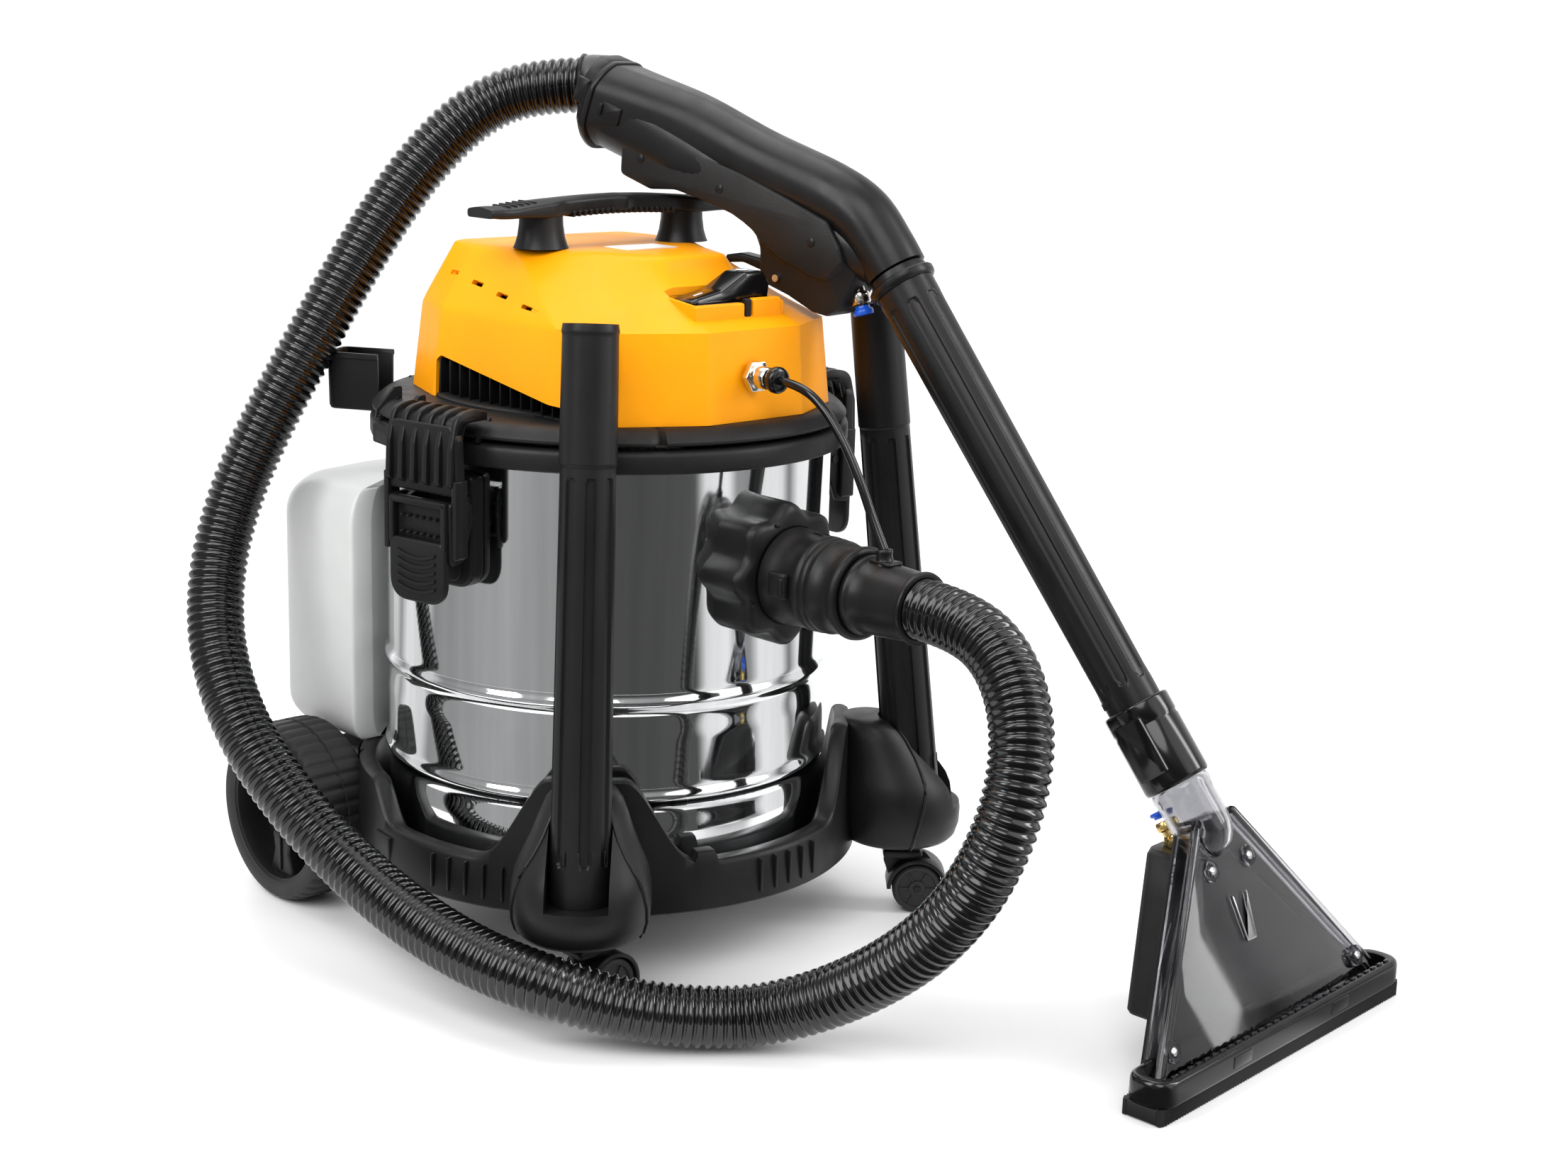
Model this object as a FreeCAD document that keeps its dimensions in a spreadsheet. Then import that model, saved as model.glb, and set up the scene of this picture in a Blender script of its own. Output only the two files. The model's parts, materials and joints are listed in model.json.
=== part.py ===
"""Wet carpet-cleaning drum machine with hose, handle, wand and floor nozzle.

All sizes are millimetres. The machine stands on z = 0 with +Z up, its hose inlet
faces -Y, and the origin is the centre of the rigid parts' footprint on the floor.
"""
import FreeCAD, Part

import math
import os

import Sketcher

from FreeCAD import Placement, Rotation, Vector

# Driving dimensions: one spreadsheet cell each, the alias is the key.
SIZES = {
    # shift from the drum's axis to the centre of the footprint
    "shift_x": -50.89,
    "shift_y": 135.96,
    # drum
    "drum_radius": 158.0,
    "drum_wall": 1.2,
    "drum_bottom": 66.0,
    "drum_top": 362.0,
    "crease_low": 128.0,
    "crease_high": 194.0,
    "crease_out": 2.6,
    # rim trim and lid
    "rim_radius": 169.0,
    "rim_bottom": 351.0,
    "rim_top": 366.0,
    "lid_top": 380.0,
    "lid_wall": 3.0,
    # yellow cover
    "cover_bottom": 380.2,
    "cover_shoulder": 441.0,
    "cover_top": 484.0,
    "cover_wall": 2.6,
    # carry handle
    "post_spacing": 128.0,
    "grip_top": 521.0,
    # base
    "base_bottom": 54.0,
    "base_floor": 62.0,
    "base_low_wall": 88.0,
    "base_tower_top": 148.0,
    "base_inner": 163.0,
    "base_outer": 184.0,
    "foot_angle": 44.3,
    "foot_radius": 227.0,
    "foot_bottom": 57.0,
    "foot_width": 92.0,
    "castor_pivot_radius": 215.0,
    "castor_trail": 17.0,
    "castor_wheel_radius": 18.5,
    "castor_wheel_width": 11.0,
    # rear wheels
    "wheel_radius": 66.0,
    "wheel_width": 48.0,
    "wheel_outer_x": 193.0,
    "wheel_y": 150.0,
    "axle_radius": 7.0,
    # tubes
    "tube_bottom_radius": 20.1,
    "tube_top_radius": 17.9,
    "tube_wall": 2.0,
    "tube_length": 372.0,
    "tube_lean": 6.5,
    # inlet and hose
    "inlet_height": 281.0,
    "flange_radius": 49.0,
    "coupling_radius": 32.0,
    "cuff_radius": 24.0,
    "hose_radius": 20.0,
    "water_tube_radius": 3.0,
    # handle and wand plane
    "wand_x": 58.5,
    "wand_yaw": 10.8,
    "wand_slope": 53.4,
    # nozzle
    "nozzle_x": 151.0,
    "nozzle_y": -488.0,
    "nozzle_yaw": 3.3,
    "shoe_length": 294.0,
    "shoe_depth": 32.0,
    "plate_height": 146.0,
    "plate_tilt": 23.5,
}

doc = FreeCAD.newDocument("carpet_cleaner")
dim = doc.addObject("Spreadsheet::Sheet", "dim")
for row, (alias, value) in enumerate(SIZES.items(), start=1):
    dim.set("A%d" % row, alias.replace("_", " "))
    dim.set("B%d" % row, "%g" % value)
    dim.setAlias("B%d" % row, alias)
doc.recompute()

TANK_LOW, TANK_TOP = 117.0, 305.0
SHIFT = Vector(dim.shift_x, dim.shift_y, 0)
UP = Vector(0, 0, 1)
nodes = []


# ---------------------------------------------------------------- small helpers
def number(size):
    """A size is a number, an alias, or (alias, offset) or (alias, offset, factor)."""
    if isinstance(size, str):
        return SIZES[size]
    if isinstance(size, tuple):
        factor = size[2] if len(size) > 2 else 1.0
        return SIZES[size[0]] * factor + size[1]
    return float(size)


def formula(size):
    """The same size as an expression on the sheet."""
    if isinstance(size, str):
        return "dim.%s" % size
    factor = size[2] if len(size) > 2 else 1.0
    return "dim.%s * %g + %g" % (size[0], factor, size[1])


def bind(obj, prop, size):
    """Set a property, and tie it to the sheet when the size names a cell."""
    if isinstance(size, (str, tuple)):
        obj.setExpression(prop, formula(size))
    else:
        setattr(obj, prop, float(size))


def frame_at(position, direction=UP, roll=0.0):
    """A placement whose local Z runs along direction, in the machine's own axes."""
    turn = Rotation(UP, Vector(direction))
    return Placement(SHIFT + Vector(position), turn.multiply(Rotation(UP, roll)))


def keep(obj, label):
    """Name a finished sub-part."""
    obj.Label = label
    nodes.append(obj)
    return obj


def cylinder(radius, height, position, direction=UP, sweep=360.0, roll=0.0):
    obj = doc.addObject("Part::Cylinder", "cylinder")
    bind(obj, "Radius", radius)
    bind(obj, "Height", height)
    obj.Angle = sweep
    obj.Placement = frame_at(position, direction, roll)
    return obj


def cone(low_radius, top_radius, height, position, direction=UP):
    obj = doc.addObject("Part::Cone", "cone")
    bind(obj, "Radius1", low_radius)
    bind(obj, "Radius2", top_radius)
    bind(obj, "Height", height)
    obj.Placement = frame_at(position, direction)
    return obj


def ball(radius, position):
    obj = doc.addObject("Part::Sphere", "ball")
    bind(obj, "Radius", radius)
    obj.Placement = frame_at(position)
    return obj


def block(length, width, height, centre, turn=0.0):
    """A box centred on centre in X and Y, standing on its Z, turned about Z."""
    obj = doc.addObject("Part::Box", "block")
    bind(obj, "Length", length)
    bind(obj, "Width", width)
    bind(obj, "Height", height)
    rotation = Rotation(UP, turn)
    half = Vector(-number(length) / 2, -number(width) / 2, 0)
    obj.Placement = Placement(SHIFT + Vector(centre) + rotation.multVec(half), rotation)
    return obj


def join(*parts):
    obj = doc.addObject("Part::MultiFuse", "joined")
    obj.Shapes = list(parts)
    obj.Refine = True
    return obj


def cut(base, *tools):
    obj = doc.addObject("Part::Cut", "cut")
    obj.Base = base
    obj.Tool = tools[0] if len(tools) == 1 else join(*tools)
    return obj


def polar(radius, degrees, z=0.0):
    """A point at a bearing from the front (-Y), positive towards +X."""
    turn = math.radians(degrees)
    return Vector(radius * math.sin(turn), -radius * math.cos(turn), z)


def new_body():
    return doc.addObject("PartDesign::Body", "body")


def plane_of(body, role):
    return next(f for f in body.Origin.OriginFeatures if f.Role == role)


def outline(body, role, points, lift=0.0):
    """A closed sketch of straight lines; every corner is tied to the sheet."""
    sketch = body.newObject("Sketcher::SketchObject", "outline")
    sketch.AttachmentSupport = [(plane_of(body, role), "")]
    sketch.MapMode = "FlatFace"
    sketch.AttachmentOffset = Placement(Vector(0, 0, number(lift)), Rotation())
    if isinstance(lift, (str, tuple)):
        sketch.setExpression("AttachmentOffset.Base.z", formula(lift))
    corners = [Vector(number(x), number(y), 0) for x, y in points]
    count = len(corners)
    for i in range(count):
        sketch.addGeometry(Part.LineSegment(corners[i], corners[(i + 1) % count]), False)
    for i in range(count):
        link = Sketcher.Constraint("Coincident", i, 2, (i + 1) % count, 1)
        sketch.addConstraint(link)
    for i, (x, y) in enumerate(points):
        for kind, size in (("DistanceX", x), ("DistanceY", y)):
            index = sketch.addConstraint(Sketcher.Constraint(kind, -1, 1, i, 1, number(size)))
            if isinstance(size, (str, tuple)):
                sketch.setExpression("Constraints[%d]" % index, formula(size))
    return sketch


def turned(points, position=(0, 0, 0), direction=UP):
    """A solid of revolution: points are (radius, height along the axis)."""
    body = new_body()
    sketch = outline(body, "XZ_Plane", points)
    spin = body.newObject("PartDesign::Revolution", "turned")
    spin.Profile = sketch
    spin.ReferenceAxis = (sketch, ["V_Axis"])
    spin.Angle = 360.0
    body.Placement = frame_at(position, direction)
    return body


def shell_profile(outer, wall):
    """Close an outer profile (bottom to top) into a thin wall."""
    inner = [(number(r) - wall if number(r) > 0 else 0.0, number(z)) for r, z in outer]
    inner[0] = (0.0, number(outer[0][1]) + wall)
    inner[1] = (inner[1][0], number(outer[1][1]) + wall)
    return list(outer) + inner[::-1]


def feature(label, shape):
    """A sub-part whose shape no sketch or primitive makes; shape is in machine axes."""
    obj = doc.addObject("Part::Feature", "shaped")
    obj.Shape = shape
    obj.Placement = Placement(SHIFT, Rotation())
    return keep(obj, label)


def ring_wire(centre, direction, radius):
    circle = Part.Circle(Vector(centre), Vector(direction), radius)
    return Part.Wire([circle.toShape()])


def prism(role, points, depth, lift=0.0, placement=None):
    """A straight solid on an outline, centred on its plane when depth is negative."""
    body = new_body()
    pad = body.newObject("PartDesign::Pad", "prism")
    pad.Profile = outline(body, role, points, lift)
    bind(pad, "Length", depth)
    pad.Midplane = role != "XY_Plane"
    body.Placement = placement or Placement(SHIFT, Rotation())
    return body


def tapered(levels, placement=None, wall=0.0):
    """A ruled loft through outlines at rising heights; wall > 0 hollows it from below."""
    body = new_body()
    sketches = [outline(body, "XY_Plane", points, height) for height, points in levels]
    loft = body.newObject("PartDesign::AdditiveLoft", "tapered")
    loft.Profile = sketches[0]
    loft.Sections = sketches[1:]
    loft.Ruled = True
    if wall:
        inner = []
        for height, points in levels:
            shrunk = [shrink_point(x, y, wall) for x, y in points]
            inner.append(outline(body, "XY_Plane", shrunk, (height, -wall)))
        hollow = body.newObject("PartDesign::SubtractiveLoft", "hollow")
        hollow.Profile = inner[0]
        hollow.Sections = inner[1:]
        hollow.Ruled = True
    body.Placement = placement or Placement(SHIFT, Rotation())
    return body


def shrink_point(x, y, wall):
    """Move a corner towards the axis by the wall's thickness, along both axes."""
    def step(value):
        value = number(value)
        return value - math.copysign(min(wall, abs(value)), value) if value else 0.0
    return step(x), step(y)


# ------------------------------------------------------------------------ drum
def drum_parts():
    low, high = "crease_low", "crease_high"
    out = SIZES["crease_out"]
    outer = [
        (0.0, "drum_bottom"), (("drum_radius", -9.0), "drum_bottom"),
        (("drum_radius", -2.0), ("drum_bottom", 8.0)), (("drum_radius", -2.0), (low, -12.0)),
        (("drum_radius", out), low), (("drum_radius", -0.5), (low, 7.0)),
        (("drum_radius", -0.5), (high, -12.0)), (("drum_radius", out), high),
        ("drum_radius", (high, 7.0)), ("drum_radius", "drum_top"),
    ]
    shell = turned(shell_profile(outer, SIZES["drum_wall"]))
    inlet_hole = cylinder(29.0, 40.0, (0, -135, SIZES["inlet_height"]), (0, -1, 0))
    keep(cut(shell, inlet_hole), "drum_tank")

    rim = turned([(("drum_radius", 0.4), "rim_bottom"), ("rim_radius", "rim_bottom"),
                  ("rim_radius", "rim_top"), (("drum_radius", -7.0), "rim_top"),
                  (("drum_radius", -7.0), ("drum_top", 0.1)),
                  (("drum_radius", 0.4), ("drum_top", 0.1))])
    keep(rim, "drum_rim_ring")

    gasket = turned([(("drum_radius", -6.0), ("rim_top", 0.1)),
                     (("drum_radius", 4.0), ("rim_top", 0.1)),
                     (("drum_radius", 4.0), ("rim_top", 3.0)),
                     (("drum_radius", -6.0), ("rim_top", 3.0))])
    keep(gasket, "lid_gasket")


def lid_parts():
    """The black motor base that closes the drum, and what hangs below it."""
    disc = turned([(34.0, ("rim_top", 5.0)), (("drum_radius", -8.0), ("rim_top", 5.0)),
                   (("drum_radius", -8.0), ("rim_top", 3.1)), (("rim_radius", -1.0), ("rim_top", 3.1)),
                   (("rim_radius", -1.0), ("rim_top", 7.0)), (("rim_radius", -9.0), "lid_top"),
                   (34.0, "lid_top")])
    keep(disc, "motor_base")

    cage_top = SIZES["rim_top"] + 4.9
    cage = turned([(0.0, 262.0), (44.0, 262.0), (44.0, cage_top), (40.0, cage_top),
                   (40.0, 266.0), (0.0, 266.0)])
    slots = [block(120.0, 12.0, 60.0, (0, 0, 285), turn) for turn in (0.0, 45.0, 90.0, 135.0)]
    keep(cut(cage, *slots), "float_cage")
    keep(ball(20.0, (0, 0, 286.2)), "float_ball")
    sleeve = turned([(0.0, 250.0), (52.0, 250.0), (52.0, cage_top), (46.0, cage_top),
                     (46.0, 256.0), (0.0, 256.0)])
    keep(sleeve, "filter_sleeve")


# Plan of the cover's right half, front to rear, at three heights.
COVER_BOTTOM = [(43.0, -150.0), (98.0, -121.0), (121.0, -78.0), (116.0, 54.0), (95.0, 108.0)]
COVER_SHOULDER = [(41.0, -146.0), (92.0, -118.0), (113.0, -76.0), (109.0, 52.0), (91.0, 102.0)]
COVER_TOP = [(30.0, -84.0), (52.0, -34.0), (79.0, 10.0), (83.0, 50.0), (78.0, 84.0)]


def mirrored(half):
    """A closed outline from its right half."""
    return half + [(-x, y) for x, y in half[::-1]]


def cover_parts():
    levels = [("cover_bottom", mirrored(COVER_BOTTOM)),
              ("cover_shoulder", mirrored(COVER_SHOULDER)),
              ("cover_top", mirrored(COVER_TOP))]
    shell = tapered(levels, wall=SIZES["cover_wall"])
    vents = block(300.0, 136.0, 21.0, (0, -18, SIZES["cover_bottom"] - 1))
    connector_hole = cylinder(5.2, 30.0, (-4, -135, 410), (0, -1, 0))
    switch_seat = block(74.0, 30.0, 30.0, (0, -112, 446))
    cord_hole = cylinder(4.2, 20.0, (40, 97, 398.5), (0, 1, 0.15))
    keep(cut(shell, vents, connector_hole, switch_seat, cord_hole), "top_cover")

    grilles = []
    for side in (-1, 1):
        bars = [block(2.4, 2.4, 20.0, (side * 106.0, -84.0 + 12.0 * i, 380.3)) for i in range(12)]
        rail = block(4.0, 134.0, 2.0, (side * 106.0, -18.0, 398.4))
        back = block(2.0, 134.0, 18.0, (side * 104.0, -18.0, 380.3))
        grilles += [back, rail] + bars
    keep(join(*grilles), "vent_louvres")

    plate_level = SIZES["cover_top"] + 0.1
    keep(block(44.0, 26.0, 0.8, (0, -30, plate_level)), "rating_plate")
    cable_gland = cone(9.0, 6.5, 16.0, (40, 107, 400), (0, 1, 0.15))
    keep(cut(cable_gland, cylinder(3.6, 30.0, (40, 105, 399.7), (0, 1, 0.15))), "cable_gland")


def switch_parts():
    seat = block(73.0, 29.0, 4.0, (0, -112, 446.3))
    cheeks = [block(73.0, 3.0, 14.0, (0, -112 + 13.0 * k, 446.3)) for k in (-1, 1)]
    pin = cylinder(2.0, 28.0, (0, -98, 458), (0, -1, 0))
    keep(join(seat, pin, *cheeks), "switch_housing")
    profile = [(-36.0, 458.0), (-10.0, 463.0), (12.0, 474.0), (26.0, 475.0), (36.0, 466.0),
               (34.0, 457.5), (6.0, 452.0), (-6.0, 452.0)]
    rocker = prism("XZ_Plane", profile, 21.0)
    rocker.Placement = Placement(SHIFT + Vector(0, -112, 0), Rotation())
    keep(cut(rocker, cylinder(2.05, 60.0, (0, -80, 458), (0, -1, 0))), "rocker_switch")


def carry_handle():
    arch = [(-116.0, 509.0), (-98.0, 511.5), (-64.0, 514.5), (-30.0, 518.0), (0.0, 519.0),
            (30.0, 518.0), (64.0, 514.5), (98.0, 511.5), (116.0, 509.0), (116.0, 505.0),
            (98.0, 505.0), (64.0, 503.0), (30.0, 506.0), (0.0, 507.0), (-30.0, 506.0),
            (-64.0, 503.0), (-98.0, 505.0), (-116.0, 505.0)]
    grip = prism("XZ_Plane", arch, 30.0)
    spacing = SIZES["post_spacing"] / 2
    rise = 506.0 - SIZES["cover_top"]
    posts = [cone(15.0, 13.0, rise, (side * spacing, 0, SIZES["cover_top"] + 0.1)) for side in (-1, 1)]
    keep(join(grip, *posts), "carry_handle")


def motor_parts():
    """Vacuum motor and water pump under the cover."""
    low = SIZES["lid_top"] + 0.2
    can = turned([(20.0, low), (56.0, low), (56.0, 412.0), (44.0, 418.0), (44.0, 458.0), (0.0, 458.0),
                  (0.0, 455.0), (41.0, 455.0), (41.0, 415.5), (53.0, 409.5), (53.0, low + 3),
                  (20.0, low + 3)])
    keep(can, "motor_housing")
    rotor = join(cylinder(50.0, 9.0, (0, 0, low + 6)), cylinder(5.0, 62.0, (0, 0, low + 8)),
                 cylinder(33.0, 26.0, (0, 0, 421)))
    keep(rotor, "motor_rotor")
    pump = join(block(62.0, 30.0, 30.0, (0, -86, low)), cylinder(9.0, 14.0, (-4, -101, low + 15), (0, -1, 0)))
    keep(pump, "solution_pump")


# ------------------------------------------------------------------------ base
def ring_sector(inner, outer, low, high, bearing, sweep):
    turn = bearing - 90.0 - sweep / 2
    solid = cylinder(outer, high - low, (0, 0, low), UP, sweep, turn)
    return cut(solid, cylinder(inner, high, (0, 0, 0)))


def base_parts():
    ring = turned([(0.0, 58.0), (150.0, 58.0), (150.0, "base_bottom"), ("base_outer", "base_bottom"),
                   (("base_outer", -4.0), "base_low_wall"), ("base_inner", "base_low_wall"),
                   ("base_inner", "base_floor"), (0.0, "base_floor")])
    front, rear = SIZES["foot_angle"], 127.8
    tower_tops = ((-front, 32.0, SIZES["base_tower_top"]), (front, 32.0, SIZES["base_tower_top"]),
                  (-rear, 44.0, TANK_LOW - 0.1), (rear, 44.0, TANK_LOW - 0.1))
    towers = [ring_sector(SIZES["base_inner"], SIZES["base_outer"] - 4, SIZES["base_floor"], top, bearing, sweep)
              for bearing, sweep, top in tower_tops]
    arches = [cylinder(("wheel_radius", 3.0), 60.0, (side * 142.0, SIZES["wheel_y"], SIZES["wheel_radius"]),
                       (side, 0, 0)) for side in (-1, 1)]
    keep(cut(join(ring, *towers), *arches), "base_frame")

    ring_space = cylinder(("base_outer", 0.3), 300.0, (0, 0, 0))
    keep(join(front_foot(-1), front_foot(1)), "front_feet")
    arms = []
    for side in (-1, 1):
        arm = block(42.0, 76.0, 65.0, (side * 122.0, 150.0, 50.0))
        hub = (side * 100.0, SIZES["wheel_y"], SIZES["wheel_radius"])
        arms.append(cut(arm, ring_space, cylinder("axle_radius", 60.0, hub, (side, 0, 0))))
    keep(join(*arms), "rear_feet")


def tube_axis(side):
    """Foot of a parked tube and the direction in which it leans inwards."""
    bearing = side * SIZES["foot_angle"]
    lean = math.radians(SIZES["tube_lean"])
    inward = polar(-math.sin(lean), bearing)
    return polar(SIZES["foot_radius"], bearing, 81.0), inward + Vector(0, 0, math.cos(lean))


def front_foot(side):
    bearing = side * SIZES["foot_angle"]
    low = SIZES["foot_bottom"]
    start, direction = tube_axis(side)
    bowl = cone(("foot_width", -1.0, 0.5), 40.0, 40.0, polar(216.0, bearing, low))
    back = cone(33.0, 24.0, 92.0, polar(205.0, bearing, low))
    ring_space = cylinder(("base_outer", 0.3), 300.0, (0, 0, 0))
    socket = cylinder(("tube_bottom_radius", 0.5), 200.0, start, direction)
    stem_bore = cylinder(5.06, 30.0, polar(SIZES["castor_pivot_radius"], bearing, 40.0))
    return cut(join(bowl, back), ring_space, socket, stem_bore)


def castor_parts():
    """Twin-wheel swivel castors; each trails the way it last rolled."""
    wheel_r, width = SIZES["castor_wheel_radius"], SIZES["castor_wheel_width"]
    for side, name, trail_turn in ((-1, "left", 0.0), (1, "right", -44.0)):
        pivot = polar(SIZES["castor_pivot_radius"], side * SIZES["foot_angle"])
        heading = Vector(math.cos(math.radians(trail_turn)), math.sin(math.radians(trail_turn)), 0)
        across = Vector(-heading.y, heading.x, 0)
        hub = pivot + heading * SIZES["castor_trail"] + Vector(0, 0, wheel_r)
        stem = cylinder(5.0, 28.0, pivot + Vector(0, 0, 41.0))
        plate = block(28.0, 5.0, 34.0, pivot + heading * 8.5 + Vector(0, 0, 12.0), trail_turn)
        crown = block(34.0, 31.0, 3.0, pivot + heading * 10.0 + Vector(0, 0, 44.0), trail_turn)
        web = block(22.0, 5.0, 18.0, pivot + heading * 12.0 + Vector(0, 0, 10.0), trail_turn)
        pin = cylinder(2.5, 2 * width + 8.0, hub - across * (width + 4.0), across)
        keep(join(stem, plate, web, crown, pin), "castor_fork_" + name)
        halves = [cylinder("castor_wheel_radius", "castor_wheel_width", hub + across * k, across)
                  for k in (3.2, -3.2 - width)]
        bore = cylinder(2.56, 60.0, hub - across * 30.0, across)
        keep(cut(join(*halves), bore), "castor_wheel_" + name)


def rear_wheels():
    axles = []
    for side, name in ((-1, "left"), (1, "right")):
        outer_face = Vector(side * SIZES["wheel_outer_x"], SIZES["wheel_y"], SIZES["wheel_radius"])
        inward = (-side, 0, 0)
        wheel = turned([(("axle_radius", 0.06), 6.0), (18.0, 6.0), (18.0, 20.0), (52.0, 20.0), (52.0, 0.0),
                        (("wheel_radius", -4.0), 0.0), ("wheel_radius", 5.0),
                        ("wheel_radius", ("wheel_width", -5.0)), (("wheel_radius", -4.0), "wheel_width"),
                        (52.0, "wheel_width"), (52.0, 26.0), (18.0, 26.0), (18.0, "wheel_width"),
                        (("axle_radius", 0.06), "wheel_width")], outer_face, inward)
        windows = []
        for turn in (90.0, 210.0, 330.0):
            spoke = Vector(0, math.cos(math.radians(turn)), math.sin(math.radians(turn))) * 36.0
            windows.append(cylinder(13.0, 30.0, outer_face + Vector(-side * 8.0, 0, 0) + spoke, inward))
        keep(cut(wheel, *windows), "rear_wheel_" + name)
        axle_end = Vector(side * 117.0, SIZES["wheel_y"], SIZES["wheel_radius"])
        cap_face = Vector(side * 187.5, SIZES["wheel_y"], SIZES["wheel_radius"])
        axles.append(join(cylinder("axle_radius", 71.0, axle_end, (side, 0, 0)),
                          cone(13.0, 10.0, 4.0, cap_face, (side, 0, 0))))
    keep(join(*axles), "rear_axles")


def parked_tubes():
    for side, name in ((-1, "left"), (1, "right")):
        start, direction = tube_axis(side)
        outer = cone("tube_bottom_radius", "tube_top_radius", "tube_length", start + direction * 0.2, direction)
        inner = cone(("tube_bottom_radius", -2.0), ("tube_top_radius", -2.0), "tube_length",
                     start + direction * 0.2, direction)
        keep(cut(outer, inner), "spare_tube_" + name)


# --------------------------------------------------------------------- latches
LATCH_BEARING = 80.0
LEVER_PIN = (178.0, 322.0)
CLAW_PIN = (186.5, 299.0)


def latch_parts():
    """Toggle latch: bracket on the drum, lever on the bracket, claw on the lever."""
    brackets = []
    for side, name in ((-1, "left"), (1, "right")):
        bearing = side * LATCH_BEARING
        facing = Rotation(UP, bearing - 90.0)

        def plate(radius, along, low, deep, wide, tall):
            """A block whose depth runs outwards at the latch's bearing."""
            spot = facing.multVec(Vector(radius + deep / 2, along, low))
            return block(deep, wide, tall, spot, bearing - 90.0)

        def pin(radius, half, place, height):
            start = facing.multVec(Vector(place, -half, height))
            across = facing.multVec(Vector(0, 1, 0))
            return cylinder(radius, 2 * half, start, across)

        lever_r, lever_z = LEVER_PIN
        claw_r, claw_z = CLAW_PIN
        back = plate(163.0, 0, 268.0, 6.0, 44.0, 76.0)
        ears = [plate(168.0, k * 20.0, 308.0, 16.0, 4.0, 24.6) for k in (-1, 1)]
        brackets.append(join(back, pin(3.0, 29.0, lever_r, lever_z), *ears))

        tongue = plate(191.0, 0, 261.0, 4.0, 50.0, 68.0)
        cheeks = [plate(173.0, k * 26.0, 290.0, 20.0, 3.0, 40.0) for k in (-1, 1)]
        lever = join(cut(join(tongue, *cheeks), pin(3.06, 50.0, lever_r, lever_z)), pin(3.0, 32.5, claw_r, claw_z))
        keep(lever, "latch_lever_" + name)

        arms = [plate(182.0, k * 30.4, 293.0, 9.0, 4.0, 86.0) for k in (-1, 1)]
        bridge = plate(183.0, 0, 336.0, 8.0, 64.8, 43.0)
        hook = plate(160.0, 0, 381.2, 31.0, 64.8, 4.0)
        riser = plate(183.0, 0, 378.0, 8.0, 64.8, 5.0)
        keep(cut(join(hook, riser, bridge, *arms), pin(3.06, 50.0, claw_r, claw_z)), "latch_claw_" + name)
    keep(join(*brackets), "latch_brackets")


# ------------------------------------------------------------- inlet and tank
def inlet_parts():
    height = SIZES["inlet_height"]
    drum_space = cylinder(("drum_radius", 0.3), 200.0, (0, 0, height - 100))
    flange = turned([(26.06, 0.0), ("flange_radius", 0.0), ("flange_radius", 26.0),
                     (("flange_radius", -5.0), 36.0), (26.06, 36.0)], (0, -152, height), (0, -1, 0))
    keep(cut(flange, drum_space), "inlet_flange")
    sleeve = turned([(26.3, 0.0), (28.8, 0.0), (28.8, 34.0), (26.3, 34.0)], (0, -118, height), (0, -1, 0))
    hood = turned([(0.0, 0.0), (32.0, 0.0), (32.0, 30.0), (28.0, 30.0), (28.0, 3.0), (0.0, 3.0)],
                  (0, -112, height), (0, -1, 0))
    mouth = block(44.0, 22.0, 40.0, (0, -128, height - 50))
    keep(join(cut(hood, mouth), sleeve), "inlet_deflector")
    coupling = turned([(24.06, 0.0), (26.0, 0.0), (26.0, 36.4), (("coupling_radius", 1.0), 36.4),
                       (("coupling_radius", 0.5), 50.0), (("coupling_radius", -3.0), 104.0),
                       (24.06, 104.0)], (0, -152, height), (0, -1, 0))
    keep(coupling, "hose_coupling")
    cuff = turned([(18.5, 0.0), (24.0, 0.0), (24.0, 34.4), (("cuff_radius", 2.5), 34.4), (("cuff_radius", 2.5), 38.0),
                   ("cuff_radius", 40.0), (("cuff_radius", -2.0), 84.0), (18.5, 84.0)],
                  (0, -222, height), (0, -1, 0))
    grommet = cone(6.0, 4.6, 10.0, (0, -273, height + 20.5), (0, 0.2, 1))
    keep(join(cuff, grommet), "hose_cuff")


def tank_outline(inset):
    half = [(141.0 - inset, 118.0 + inset), (141.0 - inset, 204.0), (120.0, 228.0 - inset), (62.0, 240.0 - inset)]
    return half + [(-x, y) for x, y in half[::-1]]


def tank_parts():
    drum_side = cylinder(("rim_radius", 3.0), 400.0, (0, 0, 0))
    outer = cut(prism("XY_Plane", tank_outline(0.0), TANK_TOP - TANK_LOW, TANK_LOW), drum_side)
    inner = cut(prism("XY_Plane", tank_outline(3.0), TANK_TOP - TANK_LOW - 6.0, TANK_LOW + 3.0),
                cylinder(("rim_radius", 6.0), 400.0, (0, 0, 0)))
    neck = cylinder(17.0, 9.0, (0, 207, TANK_TOP - 1.0))
    neck_bore = cylinder(14.0, 30.0, (0, 207, TANK_TOP - 12.0))
    keep(cut(join(outer, neck), inner, neck_bore), "solution_tank")
    cap = turned([(0.0, 8.4), (17.06, 8.4), (17.06, 0.3), (20.0, 0.3), (20.0, 12.0), (0.0, 12.0)],
                 (0, 207, TANK_TOP))
    keep(cap, "tank_cap")
    holder = block(32.0, 52.0, 42.0, (-103.0, 150.0, 357.0), 32.0)
    hollow = block(26.0, 46.0, 60.0, (-103.0, 150.0, 362.0), 32.0)
    keep(cut(holder, hollow, cylinder(("rim_radius", 0.3), 100.0, (0, 0, 320))), "accessory_holder")


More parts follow.
